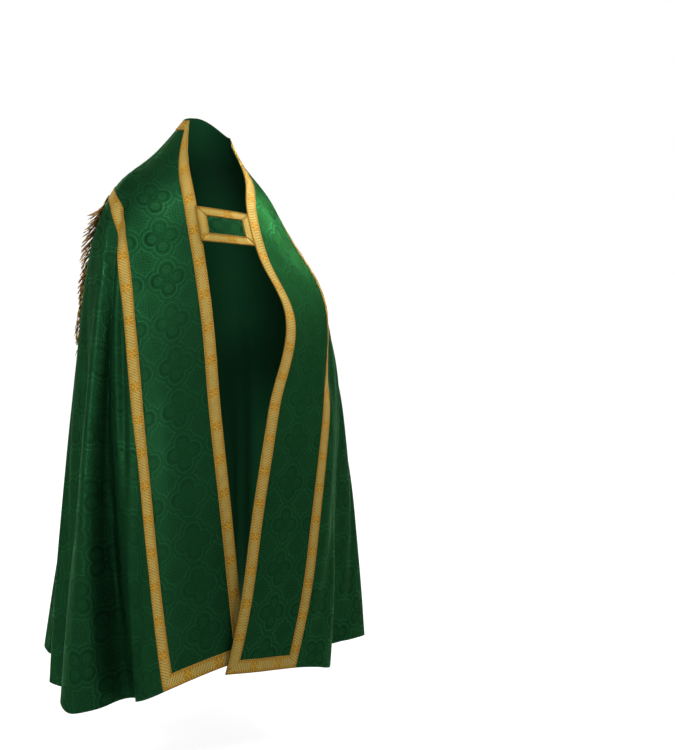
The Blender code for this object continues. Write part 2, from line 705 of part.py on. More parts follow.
def morse_grid():
    """Grid of the tab, from the right front edge to the left one."""
    stops = [0, MORSE_BRAID, MORSE_WIDTH / 2, MORSE_WIDTH - MORSE_BRAID, MORSE_WIDTH]
    heights = [0, MORSE_BRAID, MORSE_HEIGHT - MORSE_BRAID, MORSE_HEIGHT]
    rows = []
    for height in heights:
        down = MORSE_TOP + height
        lap = RIGHT_LAP / right.width(down)
        free = right.point(np.float64(lap), np.float64(down - MORSE_RISE))
        sewn = left.point(np.float64(0.0), np.float64(down))
        free = free + np.array([0.0, -RIGHT_STAND, 0.0])
        sewn = sewn + np.array([-0.0007, -LEFT_STAND, 0.0])
        row = []
        for stop in stops:
            share = stop / MORSE_WIDTH
            bulge = -MORSE_BULGE * math.sin(math.pi * share)
            row.append(free + (sewn - free) * share + np.array([0.0, bulge, 0.0]))
        rows.append(row)
    return np.array(rows)


morse = morse_grid()
morse_normal = grid_normals(morse)
grid_wall("morse_panel", morse, morse_normal, -HOOD_CLOTH, 0.0, DAMASK_GREEN, 0.55)
braid("morse_galloon", morse, morse_normal, skip=((1, 1), (1, 2)))
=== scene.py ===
import math

import bpy
import numpy as np
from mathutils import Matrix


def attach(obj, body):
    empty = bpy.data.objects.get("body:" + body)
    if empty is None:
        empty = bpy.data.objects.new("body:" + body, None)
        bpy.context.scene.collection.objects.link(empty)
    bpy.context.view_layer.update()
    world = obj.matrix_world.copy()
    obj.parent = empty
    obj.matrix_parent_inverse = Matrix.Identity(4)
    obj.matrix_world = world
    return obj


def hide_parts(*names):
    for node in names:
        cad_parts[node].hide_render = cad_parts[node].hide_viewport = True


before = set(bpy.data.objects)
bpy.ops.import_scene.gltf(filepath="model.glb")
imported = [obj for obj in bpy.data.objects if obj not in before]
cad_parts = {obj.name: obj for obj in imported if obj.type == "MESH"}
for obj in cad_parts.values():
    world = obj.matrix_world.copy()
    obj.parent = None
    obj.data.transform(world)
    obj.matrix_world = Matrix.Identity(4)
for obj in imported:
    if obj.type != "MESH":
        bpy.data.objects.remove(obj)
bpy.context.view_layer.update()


# ---- the cape: two damask panels -----------------------------------------
# Two lined panels of silk damask, each a sector of a circle, seamed down the middle of the back.
# They hang from the band round the neck, in folds that grow towards the hem, which is turned
# up inside and pressed.
CLOTH = 0.0024          # damask, interlining and lining together
PART_GAP = 0.0004       # the halves lie this far from their seam
EDGE_GAP = 0.0006       # and this far from the band
CLOTH_ROLL = 0.0004     # how far a cut edge of cloth bulges
CAPE_LENGTH = 1.47      # neckline to hem, down the cloth
BAND = 0.232            # width of the orphrey band
BRAID = 0.034           # wide galloon

# Rings of the cape before its folds: down the cloth, half widths right and left, depth behind,
# middle right and left, front right and left, squareness before and behind, front edge right
# and left
PLAN = [
    (0.00, 0.042, 0.085, 0.066, 0.030, 0.024, 0.000, -0.030, 2.0, 2.0, -0.038, 0.079),
    (0.10, 0.122, 0.118, 0.106, 0.028, 0.030, -0.074, -0.081, 2.0, 2.1, -0.080, 0.080),
    (0.22, 0.214, 0.186, 0.160, 0.050, 0.030, -0.132, -0.130, 2.0, 2.3, -0.094, 0.044),
    (0.36, 0.272, 0.250, 0.198, 0.050, 0.010, -0.160, -0.175, 2.0, 2.5, -0.090, 0.052),
    (0.50, 0.300, 0.322, 0.230, 0.045, -0.025, -0.192, -0.212, 2.0, 2.5, -0.090, 0.108),
    (0.75, 0.326, 0.387, 0.276, 0.040, -0.064, -0.240, -0.255, 2.0, 2.7, -0.096, 0.025),
    (1.00, 0.352, 0.409, 0.315, 0.028, -0.080, -0.286, -0.300, 2.1, 2.8, -0.098, -0.052),
    (1.25, 0.372, 0.418, 0.348, 0.020, -0.080, -0.318, -0.338, 2.2, 3.0, -0.096, -0.112),
    (1.47, 0.386, 0.424, 0.376, 0.010, -0.060, -0.340, -0.362, 2.2, 3.0, -0.094, -0.166),
]

# down the cloth, height of the front edge right and left, of the side right and left, of the back
LEVELS = [
    (0.00, 0.000, -0.062, 0.000, -0.040, 0.010),
    (0.10, -0.098, -0.130, -0.084, -0.106, -0.066),
    (0.22, -0.215, -0.220, -0.161, -0.190, -0.155),
    (0.36, -0.350, -0.345, -0.285, -0.300, -0.280),
    (0.50, -0.484, -0.480, -0.415, -0.415, -0.416),
    (0.75, -0.724, -0.722, -0.668, -0.662, -0.660),
    (1.00, -0.960, -0.958, -0.928, -0.918, -0.906),
    (1.25, -1.180, -1.180, -1.192, -1.170, -1.150),
    (1.47, -1.322, -1.344, -1.440, -1.402, -1.370),
]

# Folds as they stand at the hem: x, y, z, distance down the cloth where the fold begins
FOLDS = [
    (-0.094, -0.340, -1.322, 0.30),    # right front edge
    (-0.185, -0.348, -1.332, 0.30),
    (-0.280, -0.325, -1.362, 0.30),    # right outer corner
    (-0.316, -0.232, -1.412, 0.28),
    (-0.320, -0.150, -1.440, 0.26),    # hollow beside the band
    (-0.372, -0.102, -1.456, 0.32),
    (-0.440, -0.070, -1.466, 0.38),    # right side crest
    (-0.436, -0.008, -1.452, 0.48),
    (-0.374, 0.045, -1.446, 0.60),     # shallow hollow
    (-0.392, 0.095, -1.446, 0.60),
    (-0.396, 0.145, -1.444, 0.55),     # second side crest
    (-0.330, 0.178, -1.432, 0.40),
    (-0.256, 0.208, -1.420, 0.30),     # deep hollow
    (-0.296, 0.250, -1.416, 0.45),
    (-0.335, 0.280, -1.412, 0.50),     # back right crest
    (-0.314, 0.350, -1.398, 0.55),
    (-0.200, 0.382, -1.374, 0.60),
    (-0.110, 0.376, -1.369, 0.60),
    (-0.015, 0.382, -1.370, 0.60),     # middle of the back
    (0.080, 0.376, -1.370, 0.60),
    (0.190, 0.372, -1.376, 0.55),
    (0.262, 0.335, -1.384, 0.50),      # back left crest
    (0.262, 0.255, -1.388, 0.42),
    (0.225, 0.160, -1.392, 0.40),      # hollow
    (0.305, 0.085, -1.397, 0.38),
    (0.420, 0.035, -1.406, 0.36),
    (0.472, -0.048, -1.410, 0.36),     # left side crest
    (0.395, -0.092, -1.404, 0.38),
    (0.275, -0.118, -1.402, 0.40),     # hollow
    (0.226, -0.190, -1.398, 0.42),
    (0.198, -0.272, -1.406, 0.42),     # crest beside the band
    (0.136, -0.306, -1.388, 0.42),
    (0.064, -0.322, -1.374, 0.42),     # left outer corner
    (-0.055, -0.348, -1.358, 0.42),
    (-0.166, -0.362, -1.344, 0.42),    # left front edge
]
BACK_LEVEL = 0.95       # share of the quarter behind the side over which a ring climbs
MIDDLE_BACK = 18        # row of FOLDS at the centre-back seam
FOLD_GROWTH = 1.1       # power by which a fold grows from its start to the hem
FOLD_PACE = 0.75        # power of the way from fold to fold, for a smooth line through them

# Creases and ripples: across the half (0 front edge, 1 middle of the back), middle down the
# cloth, half width across, half length down, height (a trough is negative), lean
CREASES = {
    "right": [
        (0.289, 1.34, 0.023, 0.80, -0.068, -0.088),   # deep hollow behind the band
        (0.292, 0.72, 0.013, 0.22, -0.012, -0.08),
        (0.258, 1.14, 0.018, 0.50, 0.010, -0.02),
        (0.345, 1.16, 0.030, 0.55, 0.011, -0.10),
        (0.455, 0.84, 0.018, 0.30, -0.007, -0.15),
        (0.520, 1.12, 0.017, 0.36, -0.009, -0.10),
        (0.575, 0.80, 0.014, 0.26, 0.005, -0.06),
        (0.610, 1.18, 0.016, 0.30, -0.007, -0.04),
        (0.690, 0.95, 0.020, 0.40, 0.008, 0.02),
        (0.745, 1.22, 0.014, 0.27, -0.008, 0.00),
        (0.815, 1.05, 0.017, 0.34, -0.006, 0.03),
        (0.880, 1.24, 0.015, 0.26, 0.006, 0.00),
        (0.940, 1.02, 0.018, 0.40, -0.005, 0.00),
        (0.060, 1.20, 0.026, 0.28, 0.0035, 0.02),     # ripples of the band
        (0.105, 0.86, 0.030, 0.22, -0.0040, -0.05),
        (0.130, 1.28, 0.018, 0.20, -0.0030, -0.03),
        (0.230, 0.52, 0.050, 0.16, 0.0040, -0.25),
        (0.360, 0.30, 0.060, 0.10, -0.0045, 0.30),    # drag of the shoulder
        (0.520, 0.42, 0.035, 0.16, 0.0050, 0.10),
    ],
    "left": [
        (0.262, 0.675, 0.040, 0.085, -0.020, -0.10),  # dent under the raised arm
        (0.250, 1.02, 0.022, 0.42, -0.010, -0.17),    # hollow behind the band
        (0.318, 1.12, 0.024, 0.40, 0.007, -0.18),
        (0.380, 0.88, 0.020, 0.26, -0.008, -0.20),
        (0.445, 1.16, 0.016, 0.34, -0.008, -0.12),
        (0.505, 0.82, 0.016, 0.25, 0.005, -0.08),
        (0.560, 1.10, 0.018, 0.36, -0.009, -0.04),
        (0.640, 1.20, 0.015, 0.28, 0.006, 0.00),
        (0.700, 0.92, 0.020, 0.38, -0.007, 0.02),
        (0.775, 1.18, 0.016, 0.30, -0.008, 0.02),
        (0.850, 1.00, 0.019, 0.40, 0.006, 0.02),
        (0.915, 1.22, 0.015, 0.28, -0.006, 0.00),
        (0.050, 1.05, 0.024, 0.24, 0.0040, 0.03),     # ripples of the band
        (0.100, 1.24, 0.022, 0.24, -0.0040, -0.04),
        (0.120, 0.88, 0.026, 0.16, 0.0040, -0.08),
        (0.150, 0.36, 0.060, 0.10, 0.0040, 0.20),
        (0.330, 0.36, 0.050, 0.12, -0.0050, -0.30),   # drag of the shoulder
        (0.480, 0.50, 0.040, 0.16, 0.0050, -0.10),
    ],
}
CREASE_ENDS = 2.6       # power by which a crease dies out at its ends
DENSE = 721             # places round half a ring
DENSE_ROWS = 291        # rings of each half
FINE_TURN = 1201        # places on a ring before they are spread evenly
JUST_SHORT = 1.0001     # a place on the last row is read just short of it
SEAM_CORNER = 4.0       # power of the round corner that the seam makes on the shoulder
SEAM_POINTS = 6000
SEAM_ENDS = 0.0005      # radians left off its two endless ends
SEAM_SETTLES = 0.5      # share of the half after which it settles on the band's width


def unit(vectors):
    """Vectors brought to length 1 along the last axis."""
    return vectors / np.linalg.norm(vectors, axis=-1)[..., None]


def eased(share):
    share = np.clip(share, 0, 1)
    return share ** 2 * (3 - 2 * share)


def run_of(points):
    """Distance along a line at each of its points."""
    return np.concatenate([[0.0], np.cumsum(np.linalg.norm(np.diff(points, axis=0), axis=1))])


def smooth_table(rows):
    """Rows of a table as a smooth curve through them."""
    table = np.array(rows, float)
    at, values = table[:, 0], table[:, 1:]
    step = np.diff(at)[:, None]
    slope = np.diff(values, axis=0) / step
    tangent = np.zeros_like(values)
    tangent[1:-1] = (slope[:-1] * step[1:] + slope[1:] * step[:-1]) / (step[1:] + step[:-1])
    tangent[0] = slope[0] * 1.5 - tangent[1] * 0.5
    tangent[-1] = slope[-1] * 1.5 - tangent[-2] * 0.5
    return at, values, tangent


def read_table(table, place):
    at, values, tangent = table
    i = int(min(max(np.searchsorted(at, place) - 1, 0), len(at) - 2))
    step = at[i + 1] - at[i]
    x = (place - at[i]) / step
    return ((1 + 2 * x) * (1 - x) ** 2 * values[i] + x * (1 - x) ** 2 * step * tangent[i]
            + x * x * (3 - 2 * x) * values[i + 1] + x * x * (x - 1) * step * tangent[i + 1])


def even_spread(points, count):
    """Points of a line read again at even distances, measured in its first two columns."""
    along = run_of(points[:, :2])
    even = np.linspace(0.0, along[-1], count)
    return np.stack([np.interp(even, along, column) for column in points.T], 1)


plan_table = smooth_table(PLAN)
level_table = smooth_table(LEVELS)
fold_points = np.array(FOLDS)
fold_run = np.linalg.norm(np.diff(fold_points[:, :2], axis=0), axis=1) ** FOLD_PACE
fold_place = np.concatenate([[0.0], np.cumsum(fold_run)])
fold_table = smooth_table(np.column_stack([fold_place, fold_points]))


def smooth_ring(half, down):
    """Half a ring without folds, from the front edge to the middle of the back."""
    plan, level = read_table(plan_table, down), read_table(level_table, down)
    k, sign = (0, -1.0) if half == "right" else (1, 1.0)
    wide, behind, middle, front = plan[k], plan[2], plan[3 + k], plan[5 + k]
    edge = plan[9 + k] * sign
    turn = math.copysign(abs(edge / wide) ** (plan[7] / 2.0), edge)
    angle = np.linspace(math.acos(max(-1.0, min(1.0, turn))), -math.pi / 2, FINE_TURN)
    before = angle > 0
    power = np.where(before, 2.0 / plan[7], 2.0 / plan[8])
    x = sign * wide * np.sign(np.cos(angle)) * np.abs(np.cos(angle)) ** power
    reach = np.where(before, middle - front, behind - middle)
    y = middle - reach * np.sign(np.sin(angle)) * np.abs(np.sin(angle)) ** power
    share = eased(np.where(before, angle / angle[0], -angle / (math.pi / 2) / BACK_LEVEL))
    z = level[2 + k] + (np.where(before, level[k], level[4]) - level[2 + k]) * share
    return even_spread(np.stack([x, y, z], 1), DENSE)


def hem_line(half):
    """The folded hem of a half, with the places where its folds begin."""
    start = fold_place[0 if half == "right" else -1]
    places = np.linspace(start, fold_place[MIDDLE_BACK], FINE_TURN)
    return even_spread(np.array([read_table(fold_table, place) for place in places]), DENSE)


def crease_heights(rows, down, across):
    """Height of small creases over a grid; each is a soft ridge or trough with long ends."""
    heights = np.zeros(np.broadcast_shapes(down.shape, across.shape))
    for middle, depth, wide, long, height, lean in rows:
        along = (down - depth) / long
        aside = (across - middle - lean * (down - depth)) / wide
        heights += height * np.exp(-np.abs(along) ** CREASE_ENDS) * np.exp(-aside ** 2)
    return heights


class Half:
    """One half of the cope: points at (across, down), folded or smooth."""

    def __init__(self, half):
        self.sign = -1.0 if half == "right" else 1.0
        self.down = np.linspace(0.0, CAPE_LENGTH, DENSE_ROWS)
        self.smooth = np.array([smooth_ring(half, d) for d in self.down])
        hem = hem_line(half)
        start = hem[:, 3]
        grow = (self.down[:, None] - start) / (CAPE_LENGTH - start)
        grow = np.clip(grow, 0, 1) ** FOLD_GROWTH
        self.folded = self.smooth + (hem[:, :3] - self.smooth[-1]) * grow[:, :, None]
        self.length, self.smooth_length = [
            np.linalg.norm(np.diff(grid, axis=1), axis=2).sum(1)
            for grid in (self.folded, self.smooth)]
        crease = crease_heights(CREASES[half], self.down[:, None], np.linspace(0, 1, DENSE)[None])
        self.folded = self.folded + self.normals(self.folded) * crease[:, :, None]
        self.normal, self.smooth_normal = self.normals(self.folded), self.normals(self.smooth)

    def normals(self, grid):
        return unit(np.cross(np.gradient(grid, axis=0), np.gradient(grid, axis=1)) * self.sign)

    def read(self, grid, across, down):
        """A dense grid read between its points."""
        i = np.clip(np.asarray(down) / CAPE_LENGTH * (DENSE_ROWS - 1), 0, DENSE_ROWS - JUST_SHORT)
        j = np.clip(np.asarray(across) * (DENSE - 1), 0, DENSE - JUST_SHORT)
        a, b = i.astype(int), j.astype(int)
        p, q = (i - a)[..., None], (j - b)[..., None]
        return ((grid[a, b] * (1 - p) + grid[a + 1, b] * p) * (1 - q)
                + (grid[a, b + 1] * (1 - p) + grid[a + 1, b + 1] * p) * q)

    def point(self, flat):
        return self.read(self.folded, flat[..., 0], flat[..., 1])

    def outward(self, flat):
        return unit(self.read(self.normal, flat[..., 0], flat[..., 1]))

    def width(self, down):
        return np.interp(down, self.down, self.length)

    def smooth_width(self, down):
        return np.interp(down, self.down, self.smooth_length)

    def seam(self):
        """Seam between band and body as (across, down), from the hem to the middle back."""
        angle = np.linspace(SEAM_ENDS, math.pi / 2 - SEAM_ENDS, SEAM_POINTS)
        aside = BAND / np.cos(angle) ** (2 / SEAM_CORNER)
        below = BAND / np.sin(angle) ** (2 / SEAM_CORNER)
        keep = below <= CAPE_LENGTH
        aside, below = aside[keep], below[keep]
        across = aside / self.width(below)
        first = int(np.argmax(across >= 1.0))
        across, below = across[:first + 1], below[:first + 1]
        across[-1] = 1.0
        below = below - (below[-1] - BAND) * eased(
            (across - SEAM_SETTLES) / (1 - SEAM_SETTLES))
        first_row = [BAND / self.width(CAPE_LENGTH), CAPE_LENGTH]
        return np.vstack([first_row, np.stack([across, below], 1)])

    def along(self, line):
        return run_of(self.point(line))


halves = {"right": Half("right"), "left": Half("left")}


MIDDLE_ASIDE = 0.5      # how much of the slope aside is kept where the halves meet


def middle_normal(down):
    """Outward direction at the middle of the back, the same for both halves."""
    ends = np.stack([np.ones(len(down)), down], 1)
    normal = halves["right"].outward(ends) + halves["left"].outward(ends)
    normal[:, 0] *= MIDDLE_ASIDE
    return unit(normal)


# Rows of the band: down the front from the hem to the shoulder, and across the back. A braid's
# width is divided at its cords, every other stretch into equal parts.
FRONT_ROWS = 17
BACK_ROWS = 30
SHOULDER = 0.255        # down the cloth, where the seam turns from the front to the back
FAN_START = 0.55        # share of the front after which rows of edge and seam draw apart
FAN_POWER = 1.5
FRONT_POINTS, NECK_POINTS = 400, 160    # of the line down the front edge and round the neck
PARTS = 5
BRAID_STOPS = (0.0, 0.035, 0.075, 0.14, 0.32, 0.5, 0.68, 0.86, 0.925, 0.965, 1.0)
HALF_STOPS = tuple(2 * stop for stop in BRAID_STOPS if stop <= 0.5)
STEPS = len(BRAID_STOPS) - 1


def divide(ends, first=None, last=None, parts=PARTS):
    """Stretches between neighbouring places cut into equal parts, the end ones by shares."""
    out = [np.asarray(ends[0])[None]]
    for i in range(len(ends) - 1):
        shares = np.linspace(0, 1, parts + 1)
        if i == 0 and first is not None:
            shares = np.array(first)
        if i == len(ends) - 2 and last is not None:
            shares = np.array(last)
        shares = shares[1:].reshape((-1,) + (1,) * (np.ndim(ends) - 1))
        out.append(ends[i] + (ends[i + 1] - ends[i]) * shares)
    return np.concatenate(out)


FRONT_FINE = STEPS + (FRONT_ROWS - 1) * PARTS


def band_rows(half):
    """Ends of each row of the band: (across, down) on the edge and on the seam."""
    seam = half.seam()
    run = half.along(seam)
    turn = run[int(np.argmax(seam[:, 1] <= SHOULDER))]
    front = np.concatenate([[0.0, BRAID], np.linspace(BRAID, turn, FRONT_ROWS)[1:]])
    back = np.linspace(turn, run[-1], BACK_ROWS + 1)[1:]
    # the rows next to the middle of the back leave half a braid's width to it
    back[-2] = run[-1] - BRAID / 2
    back[-3] = (back[-2] + back[-4]) / 2
    places = np.concatenate([front, back])
    edge = np.vstack([
        np.stack([np.zeros(FRONT_POINTS), np.linspace(CAPE_LENGTH, 0, FRONT_POINTS)], 1),
        np.stack([np.linspace(0, 1, NECK_POINTS), np.zeros(NECK_POINTS)], 1)[1:]])
    edge_run = half.along(edge)
    share = np.clip((places - FAN_START * turn) / (run[-1] - FAN_START * turn), 0, 1)
    on_edge_at = places + (edge_run[-1] - run[-1]) * share ** FAN_POWER
    on_edge_at[-2] = edge_run[-1] - BRAID / 2
    on_edge_at[-3] = (on_edge_at[-2] + on_edge_at[-4]) / 2
    places = divide(places, first=BRAID_STOPS, last=HALF_STOPS)
    on_edge_at = divide(on_edge_at, first=BRAID_STOPS, last=HALF_STOPS)
    on_seam = np.stack([np.interp(places, run, seam[:, i]) for i in (0, 1)], 1)
    on_edge = np.stack([np.interp(on_edge_at, edge_run, edge[:, i]) for i in (0, 1)], 1)
    return on_edge, on_seam


def patch(top, low, left, right, p, q):
    """Places between four lines: p from the top line to the low one, q from left to right."""
    p, q = p[:, None, None], q[None, :, None]
    return (top[None] * (1 - p) + low[None] * p + left[:, None] * (1 - q) + right[:, None] * q
            - (top[0] * (1 - p) * (1 - q) + top[-1] * (1 - p) * q
               + low[0] * p * (1 - q) + low[-1] * p * q))


def body_grid(half):
    """Grid of the panel between the seam, the hem and the middle back, as (across, down)."""
    on_seam = band_rows(half)[1]
    left, top = on_seam[FRONT_FINE::-1], on_seam[FRONT_FINE:]
    share_down = half.along(left)
    share_down /= share_down[-1]
    right = np.stack([np.ones(len(left)), BAND + (CAPE_LENGTH - BAND) * share_down], 1)
    share_hem = np.linspace(0, 1, len(top))
    corner = left[-1, 0]
    hem = np.stack([corner + (1 - corner) * share_hem, np.full(len(top), CAPE_LENGTH)], 1)
    return patch(top, hem, left, right, share_down, share_hem)


def drawn_in(edge, inner, distance):
    """Points of an edge moved towards the next row."""
    return edge + unit(inner - edge) * distance


def grid_ids(rows, columns, start=0):
    return start + np.arange(rows * columns).reshape(rows, columns)


def grid_faces(ids, flip=False):
    """Faces over a grid of point numbers; where numbers repeat, with three corners or none."""
    faces = []
    for i in range(ids.shape[0] - 1):
        for j in range(ids.shape[1] - 1):
            corners = (ids[i, j], ids[i + 1, j], ids[i + 1, j + 1], ids[i, j + 1])
            corners = list(dict.fromkeys(int(c) for c in corners))
            if len(corners) > 2:
                faces.append(tuple(reversed(corners)) if flip else tuple(corners))
    return faces


def thin_wall(points, normals, flat, faces, low, high, roll=0.0, dip=0.0):
    """Both faces and the turned edge of a sheet: points, faces, flat places, finish numbers.

    Its faces lie low and high above the points; the edge bulges by roll, and the upper face
    loses the share dip of its height there.
    """
    points, normals, flat = points.reshape(-1, 3), normals.reshape(-1, 3), flat.reshape(-1, 2)
    used = np.unique([corner for face in faces for corner in face])
    place = {int(v): i for i, v in enumerate(used)}
    faces = [tuple(place[v] for v in face) for face in faces]
    low = np.broadcast_to(low, len(points))[used]
    high = np.broadcast_to(high, len(points))[used]
    points, normals, flat = points[used], normals[used], flat[used]
    count = len(points)
    edges = {edge for face in faces for edge in zip(face, face[1:] + face[:1])}
    rim = sorted(edge for edge in edges if edge[::-1] not in edges)
    rim_points = sorted({v for edge in rim for v in edge})
    high[rim_points] -= dip * (high - low)[rim_points]
    upper = points + normals * high[:, None]
    under = points + normals * low[:, None]
    start, end = np.array([e[0] for e in rim]), np.array([e[1] for e in rim])
    side = np.cross(upper[end] - upper[start], normals[start])
    side /= np.linalg.norm(side, axis=1)[:, None] + 1e-12
    away = np.zeros_like(points)
    np.add.at(away, start, side)
    np.add.at(away, end, side)
    away = away[rim_points]
    away /= np.linalg.norm(away, axis=1)[:, None] + 1e-12
    turned = (upper[rim_points] + under[rim_points]) / 2 + away * roll
    middle = {v: 2 * count + i for i, v in enumerate(rim_points)}
    solid = list(faces)
    solid += [tuple(v + count for v in reversed(face)) for face in faces]
    solid += [(b, a, middle[a], middle[b]) for a, b in rim]
    solid += [(middle[b], middle[a], a + count, b + count) for a, b in rim]
    kinds = [0] * len(faces) + [1] * len(faces) + [0] * (2 * len(rim))
    return (np.concatenate([upper, under, turned]), solid,
            np.concatenate([flat, flat, flat[rim_points]]), kinds)


SHARP_EDGE = math.radians(40)


def placed(name, data):
    made = bpy.data.objects.new(name, data)
    bpy.context.scene.collection.objects.link(made)
    return made


def sewn_piece(name, walls, finishes):
    """One object made of one or more walls, riding on the body, with its flat places as a map."""
    points, faces, flat, kinds = [], [], [], []
    for wall_points, wall_faces, wall_flat, wall_kinds in walls:
        start = sum(len(p) for p in points)
        points.append(wall_points)
        flat.append(wall_flat)
        faces += [tuple(v + start for v in face) for face in wall_faces]
        kinds += wall_kinds
    points, flat = np.concatenate(points), np.concatenate(flat)
    mesh = bpy.data.meshes.new(name)
    mesh.from_pydata([tuple(p) for p in points], [], faces)
    layer = mesh.uv_layers.new(name="cloth")
    corners = np.array([v for face in faces for v in face])
    layer.uv.foreach_set("vector", flat[corners].astype(np.float32).ravel())
    mesh.polygons.foreach_set("material_index", kinds)
    for finish in finishes:
        mesh.materials.append(finish)
    mesh.shade_smooth()
    mesh.set_sharp_from_angle(angle=SHARP_EDGE)
    mesh.update()
    piece = placed(name, mesh)
    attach(piece, "root")
    return piece


class Wire:
    """A value inside a finish, which formulas treat like a number."""

    def __init__(self, loom, socket):
        self.loom, self.socket = loom, socket

    def laid(operation, turned=False):
        def lay(self, other):
            return self.loom.m(operation, *((other, self) if turned else (self, other)))
        return lay

    __add__ = __radd__ = laid("ADD")
    __mul__ = __rmul__ = laid("MULTIPLY")
    __sub__, __rsub__ = laid("SUBTRACT"), laid("SUBTRACT", turned=True)
    __truediv__, __lt__, __gt__ = laid("DIVIDE"), laid("LESS_THAN"), laid("GREATER_THAN")


class Loom:
    """A finish whose woven figure is written as formulas of flat places u and v."""

    def __init__(self, name):
        self.finish = bpy.data.materials.new(name)
        self.finish.use_nodes = True
        self.tree = self.finish.node_tree
        self.shader = self.tree.nodes["Principled BSDF"]
        split = self.node("ShaderNodeSeparateXYZ")
        coordinates = self.node("ShaderNodeUVMap", uv_map="cloth")
        self.tree.links.new(coordinates.outputs[0], split.inputs[0])
        self.u, self.v = Wire(self, split.outputs[0]), Wire(self, split.outputs[1])

    def node(self, kind, **settings):
        made = self.tree.nodes.new(kind)
        for key, value in settings.items():
            setattr(made, key, value)
        return made

    def feed(self, socket, value):
        if isinstance(value, Wire):
            self.tree.links.new(value.socket, socket)
        else:
            socket.default_value = value

    def m(self, operation, *values):
        made = self.node("ShaderNodeMath", operation=operation)
        for socket, value in zip(made.inputs, values):
            self.feed(socket, value)
        return Wire(self, made.outputs[0])

    def most(self, first, *others):
        for other in others:
            first = self.m("MAXIMUM", first, other)
        return first

    def ordered(self, x, y):
        """The larger and the smaller of two values."""
        return self.m("MAXIMUM", x, y), self.m("MINIMUM", x, y)

    def reach(self, x, y):
        return self.m("SQRT", x * x + y * y)

    def nearest(self, value, every):
        """Distance from the nearest of marks that stand this far apart."""
        return self.m("PINGPONG", value, every / 2)

    def wave(self, value, every):
        return self.m("SINE", value * (2 * math.pi / every))

    def rings(self, value, rows):
        """1 where the value is one of these, within its half width."""
        return self.most(*[self.m("COMPARE", value, *row) for row in rows])

    def petals(self, x, y, rows):
        """1 inside one of these ovals: its middle in x and y, half length, half width."""
        return self.most(*[self.reach((x - at_x) / long, (y - at_y) / wide) < 1.0
                           for at_x, at_y, long, wide in rows])

    def mix(self, share, first, second):
        made = self.node("ShaderNodeMix", data_type="RGBA")
        # these are the sockets of a mix of colours
        for number, value in ((0, share), (6, first), (7, second)):
            self.feed(made.inputs[number], value)
        return Wire(self, made.outputs[2])

    def noise(self, scale, detail=2.0, stretch=(1.0, 1.0)):
        join = self.node("ShaderNodeCombineXYZ")
        self.feed(join.inputs[0], self.u * stretch[0])
        self.feed(join.inputs[1], self.v * stretch[1])
        made = self.node("ShaderNodeTexNoise")
        made.inputs["Scale"].default_value = scale
        made.inputs["Detail"].default_value = detail
        self.tree.links.new(join.outputs[0], made.inputs["Vector"])
        return Wire(self, made.outputs[0])

    def uneven(self, scale, detail, gain, offset):
        return self.noise(scale, detail) * gain + offset

    def raise_by(self, height, distance, strength):
        """Relief of the surface, from a height between 0 and 1."""
        bump = self.node("ShaderNodeBump")
        self.feed(bump.inputs["Strength"], strength)
        self.feed(bump.inputs["Distance"], distance)
        self.feed(bump.inputs["Height"], height)
        self.tree.links.new(bump.outputs[0], self.shader.inputs["Normal"])

    def set(self, **values):
        for key, value in values.items():
            self.feed(self.shader.inputs[key.replace("_", " ")], value)
        return self.finish


REPEAT = 0.108          # of the damask's figure, both ways
LOBE = 0.236            # lobes of the quatrefoil from its middle, in repeats
LOBE_ROUND = 0.154      # radius of a lobe
STAR_ROUND = 0.296      # the star between keeps this far from the lobes' middles
CRESCENT = (0.019, 0.044)   # the round inside a lobe: nearer the middle, and smaller, by this
EYE_RING = [(0.046, 0.014)]     # about the middle: radius and half width, in repeats
FIGURE_RINGS = [(LOBE_ROUND + 0.024, 0.008), (STAR_ROUND - 0.056, 0.006),
                (STAR_ROUND - 0.020, 0.009)]
LINE_RINGS = [(LOBE_ROUND + 0.042, 0.008), (STAR_ROUND, 0.010)]
LINES_FROM = 0.10       # no lines nearer the middle
# dots and leaves that fill the star: along, aside, half length, half width
STAR_MARKS = [
    (0.000, 0.000, 0.026, 0.026), (0.080, 0.000, 0.026, 0.018), (0.060, 0.060, 0.020, 0.020),
    (0.142, 0.000, 0.020, 0.020), (0.126, 0.070, 0.020, 0.018), (0.124, 0.124, 0.019, 0.019),
    (0.202, 0.000, 0.022, 0.017), (0.190, 0.066, 0.019, 0.017), (0.262, 0.000, 0.024, 0.015),
    (0.224, 0.128, 0.018, 0.016), (0.326, 0.000, 0.028, 0.013),
]
# the faint sprig in each lobe, from the middle of the quatrefoil
SPRIG_MARKS = [(0.268, 0.000, 0.042, 0.011), (0.246, 0.046, 0.024, 0.010)]
GROUND_GREEN = (0.0080, 0.0480, 0.0160, 1.0)
FIGURE_GREEN = (0.0020, 0.0125, 0.0042, 1.0)
LINE_GREEN = (0.0102, 0.0640, 0.0236, 1.0)
DEEP_GREEN = (0.0060, 0.0370, 0.0124, 1.0)
LINING_GREEN = (0.0035, 0.030, 0.012, 1.0)
SILK_SHINE = (0.10, 0.58, 0.24, 1.0)
LINE_SHINE = (0.30, 1.00, 0.58, 1.0)
SILK_ROUGH = 0.46
FIGURE_ROUGH, LINE_ROUGH = 0.06, -0.10      # more on the figure, less on its lines
SLUB_ROUGH = 0.06
SILK_RELIEF = 0.00012
FIGURE_HIGH, LINE_HIGH, SLUB_HIGH, THREAD_HIGH = 0.55, 0.50, 0.80, 0.25     # shares of it
FIGURE_TURN = 0.25      # the figure's threads cross the ground's, a quarter turn
WOVEN_SHARE = 0.56      # how far figure and lines take their own green
SPRIG_SHARE = 0.5       # of it that the sprigs take
